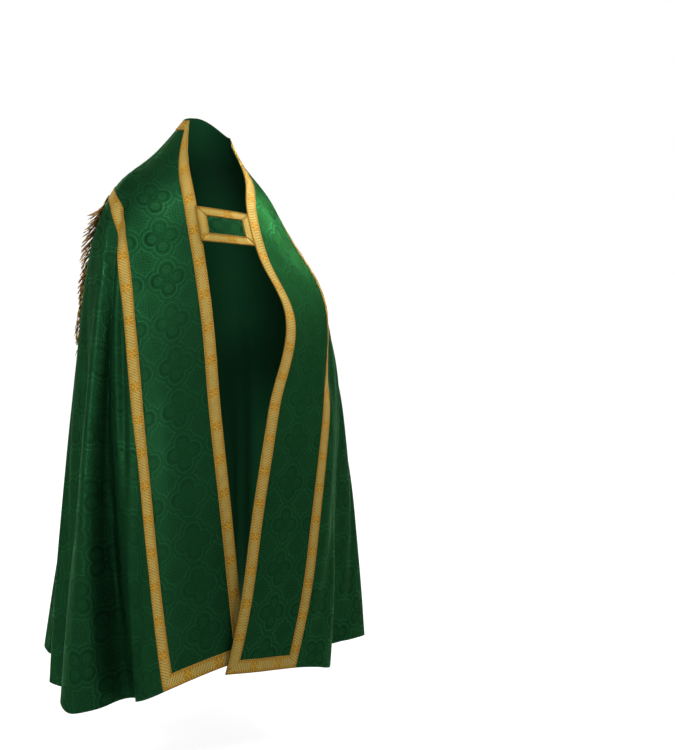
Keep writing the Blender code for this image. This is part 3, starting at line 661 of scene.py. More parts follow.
# uneven silk: scale, detail, gain and offset of clouds of tone, of patches where the figure
# shows less, and of its grain; and of slubs the scale across and along the thread
CLOUDS = (9.0, 3.0, 0.9, -0.2)
PATCHES = (13.0, 2.0, 2.4, -0.35)
GRAIN = (420.0, 1.0, 2.6, -0.95)
SLUBS, SLUB_LENGTH = 240.0, 0.12
LINING_ROUGH = 0.55
LINING_RELIEF = 0.0001
LINING_GRAIN, LINING_CLOUDS = 60.0, 12.0    # scales
SILK_THREAD = 0.0011    # from one thread to the next
TWILL = 0.0016          # from one rib of the lining to the next


def damask_figure(loom):
    """Figure and lines of the weave: quatrefoils in a net of stars, strewn with small marks."""
    x, y = loom.nearest(loom.u / REPEAT, 1.0), loom.nearest(loom.v / REPEAT, 1.0)
    big, small = loom.ordered(x, y)
    from_middle, from_lobe = loom.reach(x, y), loom.reach(big - LOBE, small)
    from_inner = loom.reach(big - (LOBE - CRESCENT[0]), small)
    crescent = (from_lobe < LOBE_ROUND) * (from_inner > LOBE_ROUND - CRESCENT[1])
    figure = loom.most(crescent, loom.rings(from_middle, EYE_RING),
                       loom.rings(from_lobe, FIGURE_RINGS),
                       loom.petals(big, small, SPRIG_MARKS) * SPRIG_SHARE,
                       loom.petals(*loom.ordered(0.5 - x, 0.5 - y), STAR_MARKS))
    return figure, loom.rings(from_lobe, LINE_RINGS) * (from_middle > LINES_FROM)


def damask(name):
    """Silk damask of one green: a dull dark figure and fine bright lines on a satin ground."""
    loom = Loom(name)
    figure, lines = damask_figure(loom)
    shows = loom.m("MINIMUM", loom.uneven(*PATCHES), 1.0)
    figure, lines = figure * shows, lines * shows
    colour = loom.mix(loom.uneven(*CLOUDS), DEEP_GREEN, GROUND_GREEN)
    colour = loom.mix(loom.uneven(*GRAIN), colour, FIGURE_GREEN)
    colour = loom.mix(figure * WOVEN_SHARE, colour, FIGURE_GREEN)
    colour = loom.mix(lines * WOVEN_SHARE, colour, LINE_GREEN)
    slub = loom.noise(SLUBS, stretch=(1.0, SLUB_LENGTH))
    thread = loom.wave(loom.u, SILK_THREAD) * THREAD_HIGH + 0.5
    loom.raise_by(figure * FIGURE_HIGH + lines * LINE_HIGH + slub * SLUB_HIGH + thread,
                  SILK_RELIEF, 0.5)
    grain = loom.node("ShaderNodeTangent", direction_type="UV_MAP", uv_map="cloth")
    return loom.set(Base_Color=colour, Metallic=0.60, IOR=1.12,
                    Roughness=(figure * FIGURE_ROUGH + lines * LINE_ROUGH
                               + slub * SLUB_ROUGH + SILK_ROUGH),
                    Specular_Tint=loom.mix(lines, SILK_SHINE, LINE_SHINE),
                    Tangent=Wire(loom, grain.outputs[0]), Anisotropic=0.55,
                    Anisotropic_Rotation=figure * FIGURE_TURN)


def lining(name):
    """Plain twill, seen inside the cape and behind the braids."""
    loom = Loom(name)
    loom.raise_by(loom.wave(loom.u + loom.v, TWILL) + loom.noise(LINING_GRAIN),
                  LINING_RELIEF, 0.4)
    return loom.set(Base_Color=loom.mix(loom.noise(LINING_CLOUDS), LINING_GREEN, DEEP_GREEN),
                    Roughness=LINING_ROUGH, Specular_IOR_Level=0.25, Specular_Tint=SILK_SHINE)


silk, twill = damask("damask"), lining("lining")
TURN_AWAY = 0.97        # radians of the sector from the middle of the back to the front edge
NECK_RADIUS = 0.10      # of the cut, at the neckline


def flat_sector(grid):
    """Where a place of the panel lies in the cut cloth, with the grain down the middle back."""
    turn = (1.0 - grid[..., 0]) * TURN_AWAY
    radius = NECK_RADIUS + grid[..., 1]
    return np.stack([radius * np.sin(turn), -radius * np.cos(turn)], -1)


for name, half in halves.items():
    flat = body_grid(half)
    points, normals = half.point(flat), half.outward(flat)
    normals[:, -1] = middle_normal(flat[:, -1, 1])
    points[:, -1] = drawn_in(points[:, -1], points[:, -2], PART_GAP)
    points[1:, 0] = drawn_in(points[1:, 0], points[1:, 1], EDGE_GAP)
    points[0] = drawn_in(points[0], points[1], EDGE_GAP)
    faces = grid_faces(grid_ids(*points.shape[:2]), flip=name == "right")
    wall = thin_wall(points, normals, flat_sector(flat), faces, -CLOTH, 0.0, CLOTH_ROLL)
    sewn_piece("cape_" + name, [wall], [silk, twill])
    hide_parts("body_" + name)


# ---- the orphrey band -----------------------------------------------------
# One band of the same damask from the right hem up the front, round the neck and down to the
# left hem. It is cut with its grain along the band and sewn over the top edge of the panels.
BRAID_PLACES = [stop * BRAID for stop in BRAID_STOPS]
FIELD_PARTS = 12        # columns between the two braids
ACROSS_POINTS = 13      # along which the width of the band is measured
BAND_SHIFT = 0.010      # of the figure on the band, to the edge and to the hem


def band_grid(half):
    """Grid of the band from the hem to the middle back; its columns keep the braids' width."""
    rows, shares = [], np.linspace(0, 1, ACROSS_POINTS)
    for start, end in zip(*band_rows(half)):
        line = start + (end - start) * shares[:, None]
        wide = half.along(line)
        stops = np.concatenate([BRAID_PLACES,
                                np.linspace(BRAID, wide[-1] - BRAID, FIELD_PARTS + 1)[1:-1],
                                wide[-1] - np.array(BRAID_PLACES[::-1])])
        rows.append(start + (end - start) * np.interp(stops, wide, shares)[:, None])
    return np.array(rows)


right_flat, left_flat = [band_grid(half) for half in halves.values()]
right_band, left_band = halves["right"].point(right_flat), halves["left"].point(left_flat)
meeting = (right_band[-1] + left_band[-1]) / 2
band = np.concatenate([right_band[:-1], meeting[None], left_band[-2::-1]])
band_normal = np.concatenate([
    halves["right"].outward(right_flat[:-1]), middle_normal(right_flat[-1, :, 1])[None],
    halves["left"].outward(left_flat[-2::-1])])
BAND_ROWS, BAND_COLUMNS = band.shape[:2]
BAND_MIDDLE = len(right_band) - 1
band_run = run_of(band[:, BAND_COLUMNS // 2])
band_across = np.cumsum(np.linalg.norm(np.diff(band, axis=1), axis=2), axis=1)
band_across = np.concatenate([np.zeros((BAND_ROWS, 1)), band_across], 1)
band_across -= band_across[:, -1:] / 2
band_place = np.stack([band_across, np.broadcast_to(band_run[:, None], band_across.shape)], -1)
band_ids = grid_ids(BAND_ROWS, BAND_COLUMNS)
orphrey_wall = thin_wall(band, band_normal, band_place + BAND_SHIFT, grid_faces(band_ids),
                         -CLOTH, 0.0, CLOTH_ROLL)
orphrey = sewn_piece("orphrey_band", [orphrey_wall], [silk, twill])
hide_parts("orphrey")


# ---- galloons on the band -------------------------------------------------
# Woven braid of gilt thread: corded edges, a row of beads inside them and a hatched field with
# small crosses. It is stitched flat along both edges of the band, mitred at the hems, and a
# short length covers the join at the middle of the back.
BRAID_THICK = 0.0014
BRAID_LOW = 0.0002      # it lies this far off the damask
BRAID_ROLL = 0.0002
EDGE_DIP = 0.62         # share of its height that a braid loses at its edges and mitres
BRAID_RISE = (0.40, 0.85, 1.00, 0.66, 0.74, 0.80, 0.74, 0.66, 1.00, 0.85, 0.40)
EDGE_WIDE = 0.0036      # the corded edge
RIB_EVERY = 0.0019      # from one rib of the edge to the next
STITCH_EVERY = 0.0034   # the seam that holds the braid down
STITCH_IN = 0.0013      # from its edge
BEAD_IN = 0.0056        # the row of beads, from the edge
BEAD_EVERY = 0.0070
FIELD_IN = 0.0076       # the hatched field, from the edge
HATCH_EVERY = 0.0072
HATCH_SLOPE = 0.55
HATCH_PALE = 0.24       # half the share of pale thread in the hatch
FINE_HALF = 0.0006      # half the width of the finest threads
CROSS_EVERY = 0.082     # from one woven cross to the next
PANEL_HALF = 0.0125     # half length of the close-woven panel that holds the cross
PANEL_SLANT = 0.35      # it narrows by this towards the braid's edges
GILT_ROUGH = 0.52
GOLD_SMOOTH, WEAR_ROUGH = 0.06, 0.12
GILT_RELIEF = 0.00025
GOLD_HIGH, RIB_HIGH, FINE_HIGH, WEAR_HIGH = 0.8, 0.9, 0.3, 0.4      # shares of it
HATCH_DEEP, GAP_DEEP = 0.5, 0.5
WEAR_SCALE = 55.0
FINE_SHADE, RIB_SHADE = 0.25, 0.35      # how dark fine threads and ribs get
GAP_SHADE, GOLD_LIGHT = 0.15, 0.30      # how much more than the hatch gaps and crosses show
# ovals, from their own middle: place, place aside, half length, half width
STITCH = [(0.0, 0.0, 0.0010, 0.0003)]
BEAD = [(0.0, 0.0, 0.0024, 0.0018)]
CROSS_EYE = [(0.0, 0.0, 0.0015, 0.0015)]
CROSS_ARM = [(0.0060, 0.0, 0.0032, 0.0021)]
CROSS_BUD = [(0.0103, 0.0034, 0.0014, 0.0014)]
CORD_GOLD = (0.215, 0.122, 0.022, 1.0)
FIELD_PALE = (0.300, 0.218, 0.056, 1.0)
FIELD_SHADE = (0.058, 0.031, 0.005, 1.0)
PANEL_GOLD = (0.190, 0.112, 0.018, 1.0)
BRIGHT_GOLD = (0.39, 0.195, 0.014, 1.0)
GAP_BROWN = (0.030, 0.014, 0.002, 1.0)
GILT_SHINE = (0.90, 0.70, 0.30, 1.0)


def galloon_weave(name, width, contrast=0.46):
    """Gilt braid of this width: places along it are v, places across it are u from the middle."""
    loom = Loom(name)
    along, aside = loom.v, loom.m("ABSOLUTE", loom.u)
    from_edge = width / 2 - aside
    cord = from_edge < EDGE_WIDE
    rib = loom.wave(along, RIB_EVERY) * 0.5 + 0.5
    bead = loom.petals(loom.nearest(along, BEAD_EVERY), from_edge - BEAD_IN, BEAD)
    gap = (from_edge < FIELD_IN) * (1.0 - cord)
    hatch = loom.nearest(loom.u * HATCH_SLOPE + along, HATCH_EVERY) > HATCH_EVERY * HATCH_PALE
    fine = loom.nearest(along * 0.5 - loom.u, 2 * FINE_HALF) / FINE_HALF
    from_cross = loom.nearest(along, CROSS_EVERY)
    panel = from_cross + aside * PANEL_SLANT < PANEL_HALF
    gold = loom.most(bead * (from_edge > EDGE_WIDE), loom.petals(aside, from_cross, CROSS_EYE),
                     loom.petals(*loom.ordered(aside, from_cross), CROSS_ARM),
                     loom.petals(from_cross, aside, CROSS_BUD))
    stitch = loom.petals(loom.nearest(along, STITCH_EVERY), from_edge - STITCH_IN, STITCH)
    wear = loom.noise(WEAR_SCALE, detail=4.0)
    field = loom.mix(hatch * contrast, FIELD_PALE, FIELD_SHADE)
    field = loom.mix(fine * FINE_SHADE, field, FIELD_SHADE)
    field = loom.mix(panel, field, PANEL_GOLD)
    field = loom.mix(gap * (GAP_SHADE + contrast), field, GAP_BROWN)
    tone = loom.mix(cord, field, loom.mix(rib * RIB_SHADE, CORD_GOLD, FIELD_SHADE))
    tone = loom.mix(gold * (GOLD_LIGHT + contrast), tone, BRIGHT_GOLD)
    tone = loom.mix(stitch, tone, GAP_BROWN)
    tone = loom.mix(wear * 0.5 - 0.15, tone, FIELD_SHADE)
    loom.raise_by(gold * GOLD_HIGH + cord * rib * RIB_HIGH + fine * FINE_HIGH
                  + wear * WEAR_HIGH - hatch * HATCH_DEEP - gap * GAP_DEEP - stitch,
                  GILT_RELIEF, 0.6)
    return loom.set(Base_Color=tone, Metallic=0.36, IOR=1.20, Specular_Tint=GILT_SHINE,
                    Roughness=wear * WEAR_ROUGH - gold * GOLD_SMOOTH + GILT_ROUGH)


galloon = galloon_weave("galloon", BRAID)
braid_backing = lining("braid_backing")


def mitred(ids, start, end):
    """Point numbers of a strip whose ends are cut on the diagonal, longer on its first column."""
    row, column = np.indices(ids.shape)
    if start:
        row = np.maximum(row, column)
    if end:
        row = np.minimum(row, len(ids) - 1 - column)
    return ids[row, column]


def braid_wall(points, normals, ids, width, mitre=(False, False), thick=BRAID_THICK):
    """A strip of braid over a grid of numbered points: rows run along it, columns across it."""
    run = run_of(points[ids[:, STEPS // 2]])
    flat, high = np.zeros((len(points), 2)), np.zeros(len(points))
    flat[ids, 0] = (np.array(BRAID_STOPS) - 0.5) * width
    flat[ids, 1] = run[:, None]
    high[ids] = BRAID_LOW + thick * np.array(BRAID_RISE)
    i, j = ids.shape[0] // 2, ids.shape[1] // 2
    down = points[ids[i + 1, j]] - points[ids[i, j]]
    side = points[ids[i, j + 1]] - points[ids[i, j]]
    inward = np.dot(np.cross(down, side), normals[ids[i, j]]) < 0
    faces = grid_faces(mitred(ids, *mitre), flip=inward)
    return thin_wall(points, normals, flat, faces, BRAID_LOW, high, BRAID_ROLL, EDGE_DIP)


band_points, band_normals = band.reshape(-1, 3), band_normal.reshape(-1, 3)
BOTH, NEITHER = (True, True), (False, False)
middle_rows = np.s_[BAND_MIDDLE - STEPS // 2:BAND_MIDDLE + STEPS // 2 + 1]
for name, ids, mitre in (
        ("edge_galloon", band_ids[:, :STEPS + 1], BOTH),
        ("seam_galloon", band_ids[:, :-STEPS - 2:-1], BOTH),
        ("hem_galloon_right", band_ids[:STEPS + 1].T, BOTH),
        ("hem_galloon_left", band_ids[:-STEPS - 2:-1].T, BOTH),
        ("collar_galloon", band_ids[middle_rows, STEPS:BAND_COLUMNS - STEPS].T, NEITHER)):
    wall = braid_wall(band_points, band_normals, ids, BRAID, mitre)
    sewn_piece(name.replace("galloon", "braid"), [wall],
                                   [galloon, braid_backing])
    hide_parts(name)


# ---- the hood -------------------------------------------------------------
# A lined shield of damask hung from the lower edge of the band at the back. A wide galloon
# frames its field, a narrow one covers its edge, and it hangs clear of the cape below.
HOOD_CLOTH = 0.0020
HOOD_ROLL = 0.0003
BRAID_NARROW = 0.025    # galloon on the edge of the hood
HOOD_HALF = 0.262       # half the width of the hood
HOOD_HEIGHT = 0.470
HOOD_CORNER = 0.115     # radius of the two lower corners
HOOD_REVEAL = 0.020     # damask left between the two hood galloons
HOOD_START = 0.004      # below the seam of the band
# down the hood, and how far it stands off the cape there
HOOD_LIFT = [(0.0, 0.0040), (0.10, 0.0086), (0.25, 0.0130), (0.60, 0.0170)]
SIDE_ROWS = 7           # rows of the hood down a side, the first under the top braid
CORNER_ROWS = 3         # rows to the middle of a corner
FLAT_COLUMNS = 6        # columns across the straight of the bottom edge
HOOD_DOWN = SIDE_ROWS + CORNER_ROWS
HOOD_ACROSS = FLAT_COLUMNS + 2 * CORNER_ROWS
HOOD_ROUND = 2 * HOOD_DOWN + HOOD_ACROSS
HOOD_PARTS = 8
REVEAL_PARTS = 3
# from the hood's edge: end of its braid, start and end of the frame's
INSETS = (BRAID_NARROW, BRAID_NARROW + HOOD_REVEAL, BRAID_NARROW + HOOD_REVEAL + BRAID)

# Ripples of the hood: middle across and down, half width, half length, height, lean
HOOD_CREASES = [
    (-0.205, 0.22, 0.020, 0.13, 0.0022, 0.02), (-0.140, 0.27, 0.030, 0.17, -0.0028, 0.05),
    (-0.060, 0.31, 0.024, 0.15, 0.0036, -0.03), (0.030, 0.25, 0.028, 0.19, -0.0030, 0.04),
    (0.115, 0.32, 0.022, 0.14, 0.0038, 0.02), (0.180, 0.24, 0.026, 0.15, -0.0024, -0.02),
]
SETTLE_TURNS = 4
seam_lines = {name: half.seam() for name, half in halves.items()}


def hood_points(flat, out=0.0):
    """Points of the hood from flat places across (+ to the left) and down, lifted by out."""
    aside, below = flat[..., 0], flat[..., 1]
    lift = np.interp(below, *np.transpose(HOOD_LIFT)) + out
    lift = lift + crease_heights(HOOD_CREASES, below, aside)
    points = np.zeros(aside.shape + (3,))
    for name, half in halves.items():
        mine = (aside < 0) == (name == "right")
        away, depth = np.abs(aside[mine]), below[mine]
        down = BAND + depth
        # across and down depend on each other, and settle
        for _ in range(SETTLE_TURNS):
            across = 1.0 - away / half.smooth_width(down)
            down = np.interp(across, *seam_lines[name].T) + HOOD_START + depth
        normal = unit(half.read(half.smooth_normal, across, down))
        points[mine] = half.read(half.smooth, across, down) + normal * lift[mine][..., None]
    return points


def hood_normals(flat, near=0.002):
    side = hood_points(flat + [near, 0]) - hood_points(flat - [near, 0])
    normal = np.cross(side, hood_points(flat + [0, near]) - hood_points(flat))
    return unit(normal * np.where(normal[..., 1:2] < 0, -1.0, 1.0))


def hood_outline(inset, step):
    """Flat point on the U of the hood; step counts round from the top of the left side."""
    if step > HOOD_ROUND / 2:
        aside, below = hood_outline(inset, HOOD_ROUND - step)
        return -aside, below
    wide, tall, corner = HOOD_HALF - inset, HOOD_HEIGHT - inset, HOOD_CORNER - inset
    straight = tall - corner
    if step <= 1:
        return wide, BRAID * step
    if step <= SIDE_ROWS:
        return wide, BRAID + (straight - BRAID) * (step - 1) / (SIDE_ROWS - 1)
    if step <= SIDE_ROWS + 2 * CORNER_ROWS:
        turn = (step - SIDE_ROWS) / CORNER_ROWS * math.pi / 4
        return wide - corner + corner * math.cos(turn), straight + corner * math.sin(turn)
    past = (step - SIDE_ROWS - 2 * CORNER_ROWS) / (FLAT_COLUMNS / 2)
    return (wide - corner) * (1 - past), tall


hood_steps = divide(np.arange(HOOD_ROUND + 1.0), first=BRAID_STOPS, last=BRAID_STOPS,
                    parts=HOOD_PARTS)
side_steps = divide(np.arange(HOOD_DOWN + 1.0), first=BRAID_STOPS, parts=HOOD_PARTS)
across_steps = HOOD_DOWN + np.linspace(0, HOOD_ACROSS, HOOD_ACROSS * HOOD_PARTS + 1)
inset_stops = np.concatenate([
    np.array(BRAID_STOPS) * BRAID_NARROW,
    np.linspace(*INSETS[:2], REVEAL_PARTS + 1)[1:-1],
    np.array(BRAID_STOPS) * BRAID + INSETS[1]])
FRAME_COLUMN = len(inset_stops) - STEPS - 1
rim_flat = np.array([[hood_outline(inset, step) for inset in inset_stops] for step in hood_steps])


def hood_field():
    """Flat grid of the field inside the frame, its sides on the frame's inner line."""
    inset = INSETS[-1]
    left = np.array([hood_outline(inset, step) for step in side_steps])
    right = left * np.array([-1.0, 1.0])
    low = np.array([hood_outline(inset, step) for step in across_steps])
    share = (left[0, 0] - low[:, 0] * left[0, 0] / low[0, 0]) / (2 * left[0, 0])
    top = np.stack([left[0, 0] * (1 - 2 * share), np.zeros(len(share))], 1)
    return patch(top, low, left, right, left[:, 1] / left[-1, 1], share)


field_flat = hood_field()
hood_flat = np.concatenate([rim_flat.reshape(-1, 2), field_flat.reshape(-1, 2)])
shield_points = hood_points(hood_flat)
shield_normals = hood_normals(hood_flat)
rim_ids = grid_ids(*rim_flat.shape[:2])
field_ids = grid_ids(*field_flat.shape[:2], start=rim_ids.size)
# where the field meets the rim they share the rim's points
field_ids[:, 0] = rim_ids[:len(side_steps), -1]
field_ids[:, -1] = rim_ids[::-1, -1][:len(side_steps)]
field_ids[-1] = rim_ids[len(side_steps) - 1:1 - len(side_steps), -1]
hood_faces = grid_faces(rim_ids) + grid_faces(field_ids)
hood_wall = thin_wall(shield_points, shield_normals, hood_flat, hood_faces,
                      -HOOD_CLOTH, 0.0, HOOD_ROLL)
hood = sewn_piece("hood_shield", [hood_wall], [silk, twill])
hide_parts("hood_panel")

# The galloons of the hood: narrow on the edge, wide round the field with mitred top corners
narrow_galloon = galloon_weave("galloon_narrow", BRAID_NARROW)
frame_ids = rim_ids[:, FRAME_COLUMN:]
top_ids = np.concatenate([frame_ids[:STEPS + 1, :-1], field_ids[:STEPS + 1],
                          frame_ids[:-STEPS - 2:-1, -2::-1]], 1)
for name, ids, width, mitre, finish in (
        ("hood_edge_galloon", rim_ids[:, :STEPS + 1], BRAID_NARROW, NEITHER, narrow_galloon),
        ("hood_frame_galloon", frame_ids, BRAID, BOTH, galloon),
        ("hood_top_galloon", top_ids.T, BRAID, BOTH, galloon)):
    wall = braid_wall(shield_points, shield_normals, ids, width, mitre)
    sewn_piece(name.replace("galloon", "braid"), [wall],
                                   [finish, braid_backing])
    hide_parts(name)


# ---- the fringe -----------------------------------------------------------
# A bullion fringe of bronze gilt cord: each cord is two plies twisted on themselves into a loop,
# caught in a narrow woven heading behind the edge galloon. They hang a little apart and uneven.
FRINGE_LENGTH = 0.045
FRINGE_SPLAY = 0.020    # how far the cords of the hood's sides stand off at their tips
FRINGE_FALLS = 0.30     # down the hood, where they hang straight again
FRINGE_SWAY = 0.05      # how far cords lean aside, by chance and in slow waves
SWAY_WAVE = 0.19        # radians of the slow wave from one cord to the next
SIDE_SWAY = 2.2         # more at the sides, by this share
PLACE_SPREAD = 0.00035  # chance in the cords' places, as a share of the fringe
LENGTH_SPREAD = 0.07    # chance in their lengths
EDGE_POINTS = 4001      # of the line that the fringe is sewn to
EDGE_ENDS = 40          # of them left off at each end
CORDS = 470
CORD_RADIUS = 0.00142
RADIUS_SPREAD = 0.12
CORD_RINGS = 9
CORD_SIDES = 8
PLY_TURNS = 3.2         # half turns of the plies along a cord
PLY_MIDDLE, PLY_LOBE = 0.72, 0.34   # of the radius: a cord's round middle and its two lobes
TIP, TIP_NARROWS = 0.85, 0.55       # share of a cord where its tip starts to narrow, by this
FALL_AWAY = (0.30, 0.80)    # how far a cord keeps the way out of the edge, aside and down
FALL_HIGH = 0.50            # more aside at the top of the hood
FALL_DOWN = 0.50            # and how far its weight draws it down
CORD_BOW, CORD_DROOP = 0.5, 0.22
SPLAY_POWER, SPLAY_SPREAD = 1.4, 0.35
CORD_START = 0.0012     # from the hood's edge
CORD_BACK = -0.0014     # a cord starts this far behind the hood's face
CORD_FRONT = 0.0012     # and hangs this far in front of it
FRONT_SPREAD = 0.0010   # by chance more or less
CORD_WAVE = 0.0012      # its own slow wave, in and out
WAVE_TURNS = 1.3        # half turns of it
HEADING = 0.005         # width of the heading that shows beyond the hood's edge
THREAD_EVERY = 0.0014   # from one thread of a cord to the next
THREAD_SLANT = 2.0      # threads passed on the way round it
THREAD_SHADE = 0.45
CORD_TONES = 3.1        # scale of the change of tone from cord to cord
ALONG_CORD = 20.0       # and how much faster it goes along them
FRINGE_LIGHT = (0.36, 0.215, 0.068, 1.0)
FRINGE_DARK = (0.090, 0.046, 0.012, 1.0)
OUTLINE_POINTS = 801
CHANCE_START = 7
chance = np.random.default_rng(CHANCE_START)

fringe_line = np.array([hood_outline(0.0, step)
                        for step in np.linspace(0, HOOD_ROUND, OUTLINE_POINTS)])
fringe_run = run_of(fringe_line)[-1]
fringe_line = even_spread(fringe_line, EDGE_POINTS)[EDGE_ENDS:-EDGE_ENDS]
fringe_share = np.linspace(0, 1, len(fringe_line))
fringe_side = unit(np.gradient(fringe_line, axis=0))
fringe_out = np.stack([fringe_side[:, 1], -fringe_side[:, 0]], 1)
fringe_out *= np.sign(fringe_out[0, 0])


def at_fringe(share):
    """Flat place on the hood's edge and the way out of it, at shares of the fringe."""
    base, away = [np.stack([np.interp(share, fringe_share, column) for column in line.T], -1)
                  for line in (fringe_line, fringe_out)]
    return base, unit(away)


def cord_rings(centres, radius, turn):
    """Rings of a two-ply cord about a line of centres; its section has two lobes and turns."""
    ahead = unit(np.gradient(centres, axis=0))
    side = unit(np.cross(ahead, [0.0, 1.0, 0.0]))
    up = np.cross(side, ahead)
    angle = np.arange(CORD_SIDES) * 2 * math.pi / CORD_SIDES
    rings = []
    for k, share in enumerate(np.linspace(0, 1, len(centres))):
        tip = 1.0 - TIP_NARROWS * max(0.0, (share - TIP) / (1 - TIP)) ** 2
        twist = turn + share * PLY_TURNS * math.pi
        lobe = radius * tip * (PLY_MIDDLE + PLY_LOBE * np.cos(2 * (angle - twist)))
        rings.append(centres[k] + side[k] * (np.cos(angle) * lobe)[:, None]
                     + up[k] * (np.sin(angle) * lobe)[:, None])
    return np.array(rings)


def fringe_cords():
    """All cords of the fringe, each as its rings."""
    share = (np.arange(CORDS) + 0.5) / CORDS + chance.normal(0, PLACE_SPREAD, CORDS)
    base, away = at_fringe(np.clip(share, 0, 1))
    sway = (chance.normal(0, FRINGE_SWAY, CORDS)
            + FRINGE_SWAY * np.sin(np.arange(CORDS) * SWAY_WAVE))
    sway = sway * (1.0 + SIDE_SWAY * np.abs(away[:, 0]))
    long = FRINGE_LENGTH * (1.0 + chance.normal(0, LENGTH_SPREAD, CORDS))
    out = CORD_FRONT + chance.normal(0, FRONT_SPREAD, CORDS)
    turn = chance.uniform(0, 2 * math.pi, CORDS)
    reach = np.linspace(0, 1, CORD_RINGS)
    cords = []
    for i in range(CORDS):
        high = max(0.0, 1.0 - base[i, 1] / FRINGE_FALLS)
        fall = unit(np.array([away[i, 0] * (FALL_AWAY[0] + FALL_HIGH * high) + sway[i],
                              away[i, 1] * FALL_AWAY[1] + FALL_DOWN]))
        droop = np.array([0.0, CORD_DROOP]) * (1 - abs(fall[1]))
        bow = away[i] * (reach * (1 - reach))[:, None] * CORD_BOW
        line = ((bow + fall * reach[:, None] + droop * (reach ** 2)[:, None]) * long[i]
                + base[i] + away[i] * CORD_START)
        splay = FRINGE_SPLAY * abs(away[i, 0]) * high * (
            1.0 + SPLAY_SPREAD * math.sin(5 * turn[i]))
        lift = (CORD_BACK + (out[i] - CORD_BACK) * reach + splay * reach ** SPLAY_POWER
                + CORD_WAVE * np.sin(reach * math.pi * WAVE_TURNS + turn[i]))
        radius = CORD_RADIUS * (1 + RADIUS_SPREAD * math.sin(turn[i]))
        cords.append(cord_rings(hood_points(line, out=lift), radius, turn[i]))
    return cords


cord_ids = grid_ids(CORD_RINGS, CORD_SIDES)
cord_faces = grid_faces(np.concatenate([cord_ids, cord_ids[:, :1]], 1))
cord_faces += [cord_ids[0].tolist(), cord_ids[-1, ::-1].tolist()]
cord_flat = np.stack(np.meshgrid(
    np.arange(CORD_SIDES) / CORD_SIDES,
    np.arange(CORD_RINGS) / (CORD_RINGS - 1) * FRINGE_LENGTH), -1).reshape(-1, 2)
cord_walls = [(rings.reshape(-1, 3), cord_faces, cord_flat + [number, 0.0], [0] * len(cord_faces))
              for number, rings in enumerate(fringe_cords())]


def bullion(name):
    """Twisted bronze gilt cord: fine slanting threads, and cords of uneven tone."""
    loom = Loom(name)
    thread = loom.wave(loom.v / THREAD_EVERY + loom.u * THREAD_SLANT, 1.0) * 0.5 + 0.5
    each = loom.noise(CORD_TONES, detail=1.0, stretch=(1.0, ALONG_CORD))
    tone = loom.mix(thread * THREAD_SHADE, FRINGE_LIGHT, FRINGE_DARK)
    tone = loom.mix(each * 1.8 - 0.45, tone, FRINGE_DARK)
    loom.raise_by(thread, GILT_RELIEF, 0.7)
    return loom.set(Base_Color=tone, Roughness=0.50, Metallic=0.25, IOR=1.20,
                    Specular_Tint=GILT_SHINE)


bronze_cord = bullion("bullion")

# the heading: across it, its places in the cloth and on the hood; and how far behind it lies
HEADING_PLACES = [0.0, 0.0026, 0.004, 0.007]
HEADING_REACH = [-0.002, 0.0006, 0.002, HEADING]
HEADING_POINTS = 401
HEADING_BACK, HEADING_FRONT = -HOOD_CLOTH - 0.0026, -HOOD_CLOTH - 0.0008
heading_share = np.linspace(0.0, 1.0, HEADING_POINTS)
heading_base, heading_away = at_fringe(heading_share)
heading_flat = np.stack([heading_base + heading_away * reach for reach in HEADING_REACH], 1)
heading_places = np.stack(np.meshgrid(HEADING_PLACES, heading_share * fringe_run), -1)
heading_wall = thin_wall(
    hood_points(heading_flat), hood_normals(heading_flat), heading_places,
    grid_faces(grid_ids(*heading_flat.shape[:2])), HEADING_BACK, HEADING_FRONT)
fringe = sewn_piece("bullion_fringe", cord_walls, [bronze_cord])
heading = sewn_piece("fringe_heading", [heading_wall], [bronze_cord, bronze_cord])
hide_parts("hood_fringe")


# ---- the morse ------------------------------------------------------------
# The tab that closes the front: a stiffened piece of damask framed with narrow mitred galloon.
# It is sewn to the left front edge, and its free end lies over the right one, where it hooks.
MORSE_WIDTH = 0.140
MORSE_HEIGHT = 0.090
MORSE_BRAID = 0.023
MORSE_TOP = 0.244       # down the left front edge
MORSE_RISE = 0.019      # its free end sits this much higher
RIGHT_LAP = 0.007       # laps over the right front edge
RIGHT_STAND = 0.0062    # and stands off it by this
LEFT_STAND = 0.0032     # the sewn end stands off the left one by this
LEFT_LAP = 0.0007       # and laps over it
MORSE_BULGE = 0.010     # its middle bows out
MORSE_PUFF = 0.0030     # its braid is laid over a cord and stands out
MORSE_CONTRAST = 0.22   # its gilt threads are closer in tone
MORSE_FIELD = 8         # columns and rows between its braids

narrow_places = [stop * MORSE_BRAID for stop in BRAID_STOPS]
morse_stops, morse_heights = [
    np.concatenate([narrow_places,
                    np.linspace(MORSE_BRAID, size - MORSE_BRAID, MORSE_FIELD + 1)[1:-1],
                    size - np.array(narrow_places[::-1])])
    for size in (MORSE_WIDTH, MORSE_HEIGHT)]


def morse_grid():
    """Grid of the tab, from the right front edge to the left one, and its top to its foot."""
    rows = []
    for height in morse_heights:
        down = MORSE_TOP + height
        lap = RIGHT_LAP / halves["right"].width(down)
        free = halves["right"].point(np.array([lap, down - MORSE_RISE])) - [0, RIGHT_STAND, 0]
        sewn = halves["left"].point(np.array([0.0, down])) - [LEFT_LAP, LEFT_STAND, 0]
        share = (morse_stops / MORSE_WIDTH)[:, None]
        bulge = MORSE_BULGE * np.sin(math.pi * share)
        rows.append(free + (sewn - free) * share - bulge * [0.0, 1.0, 0.0])
    return np.array(rows)


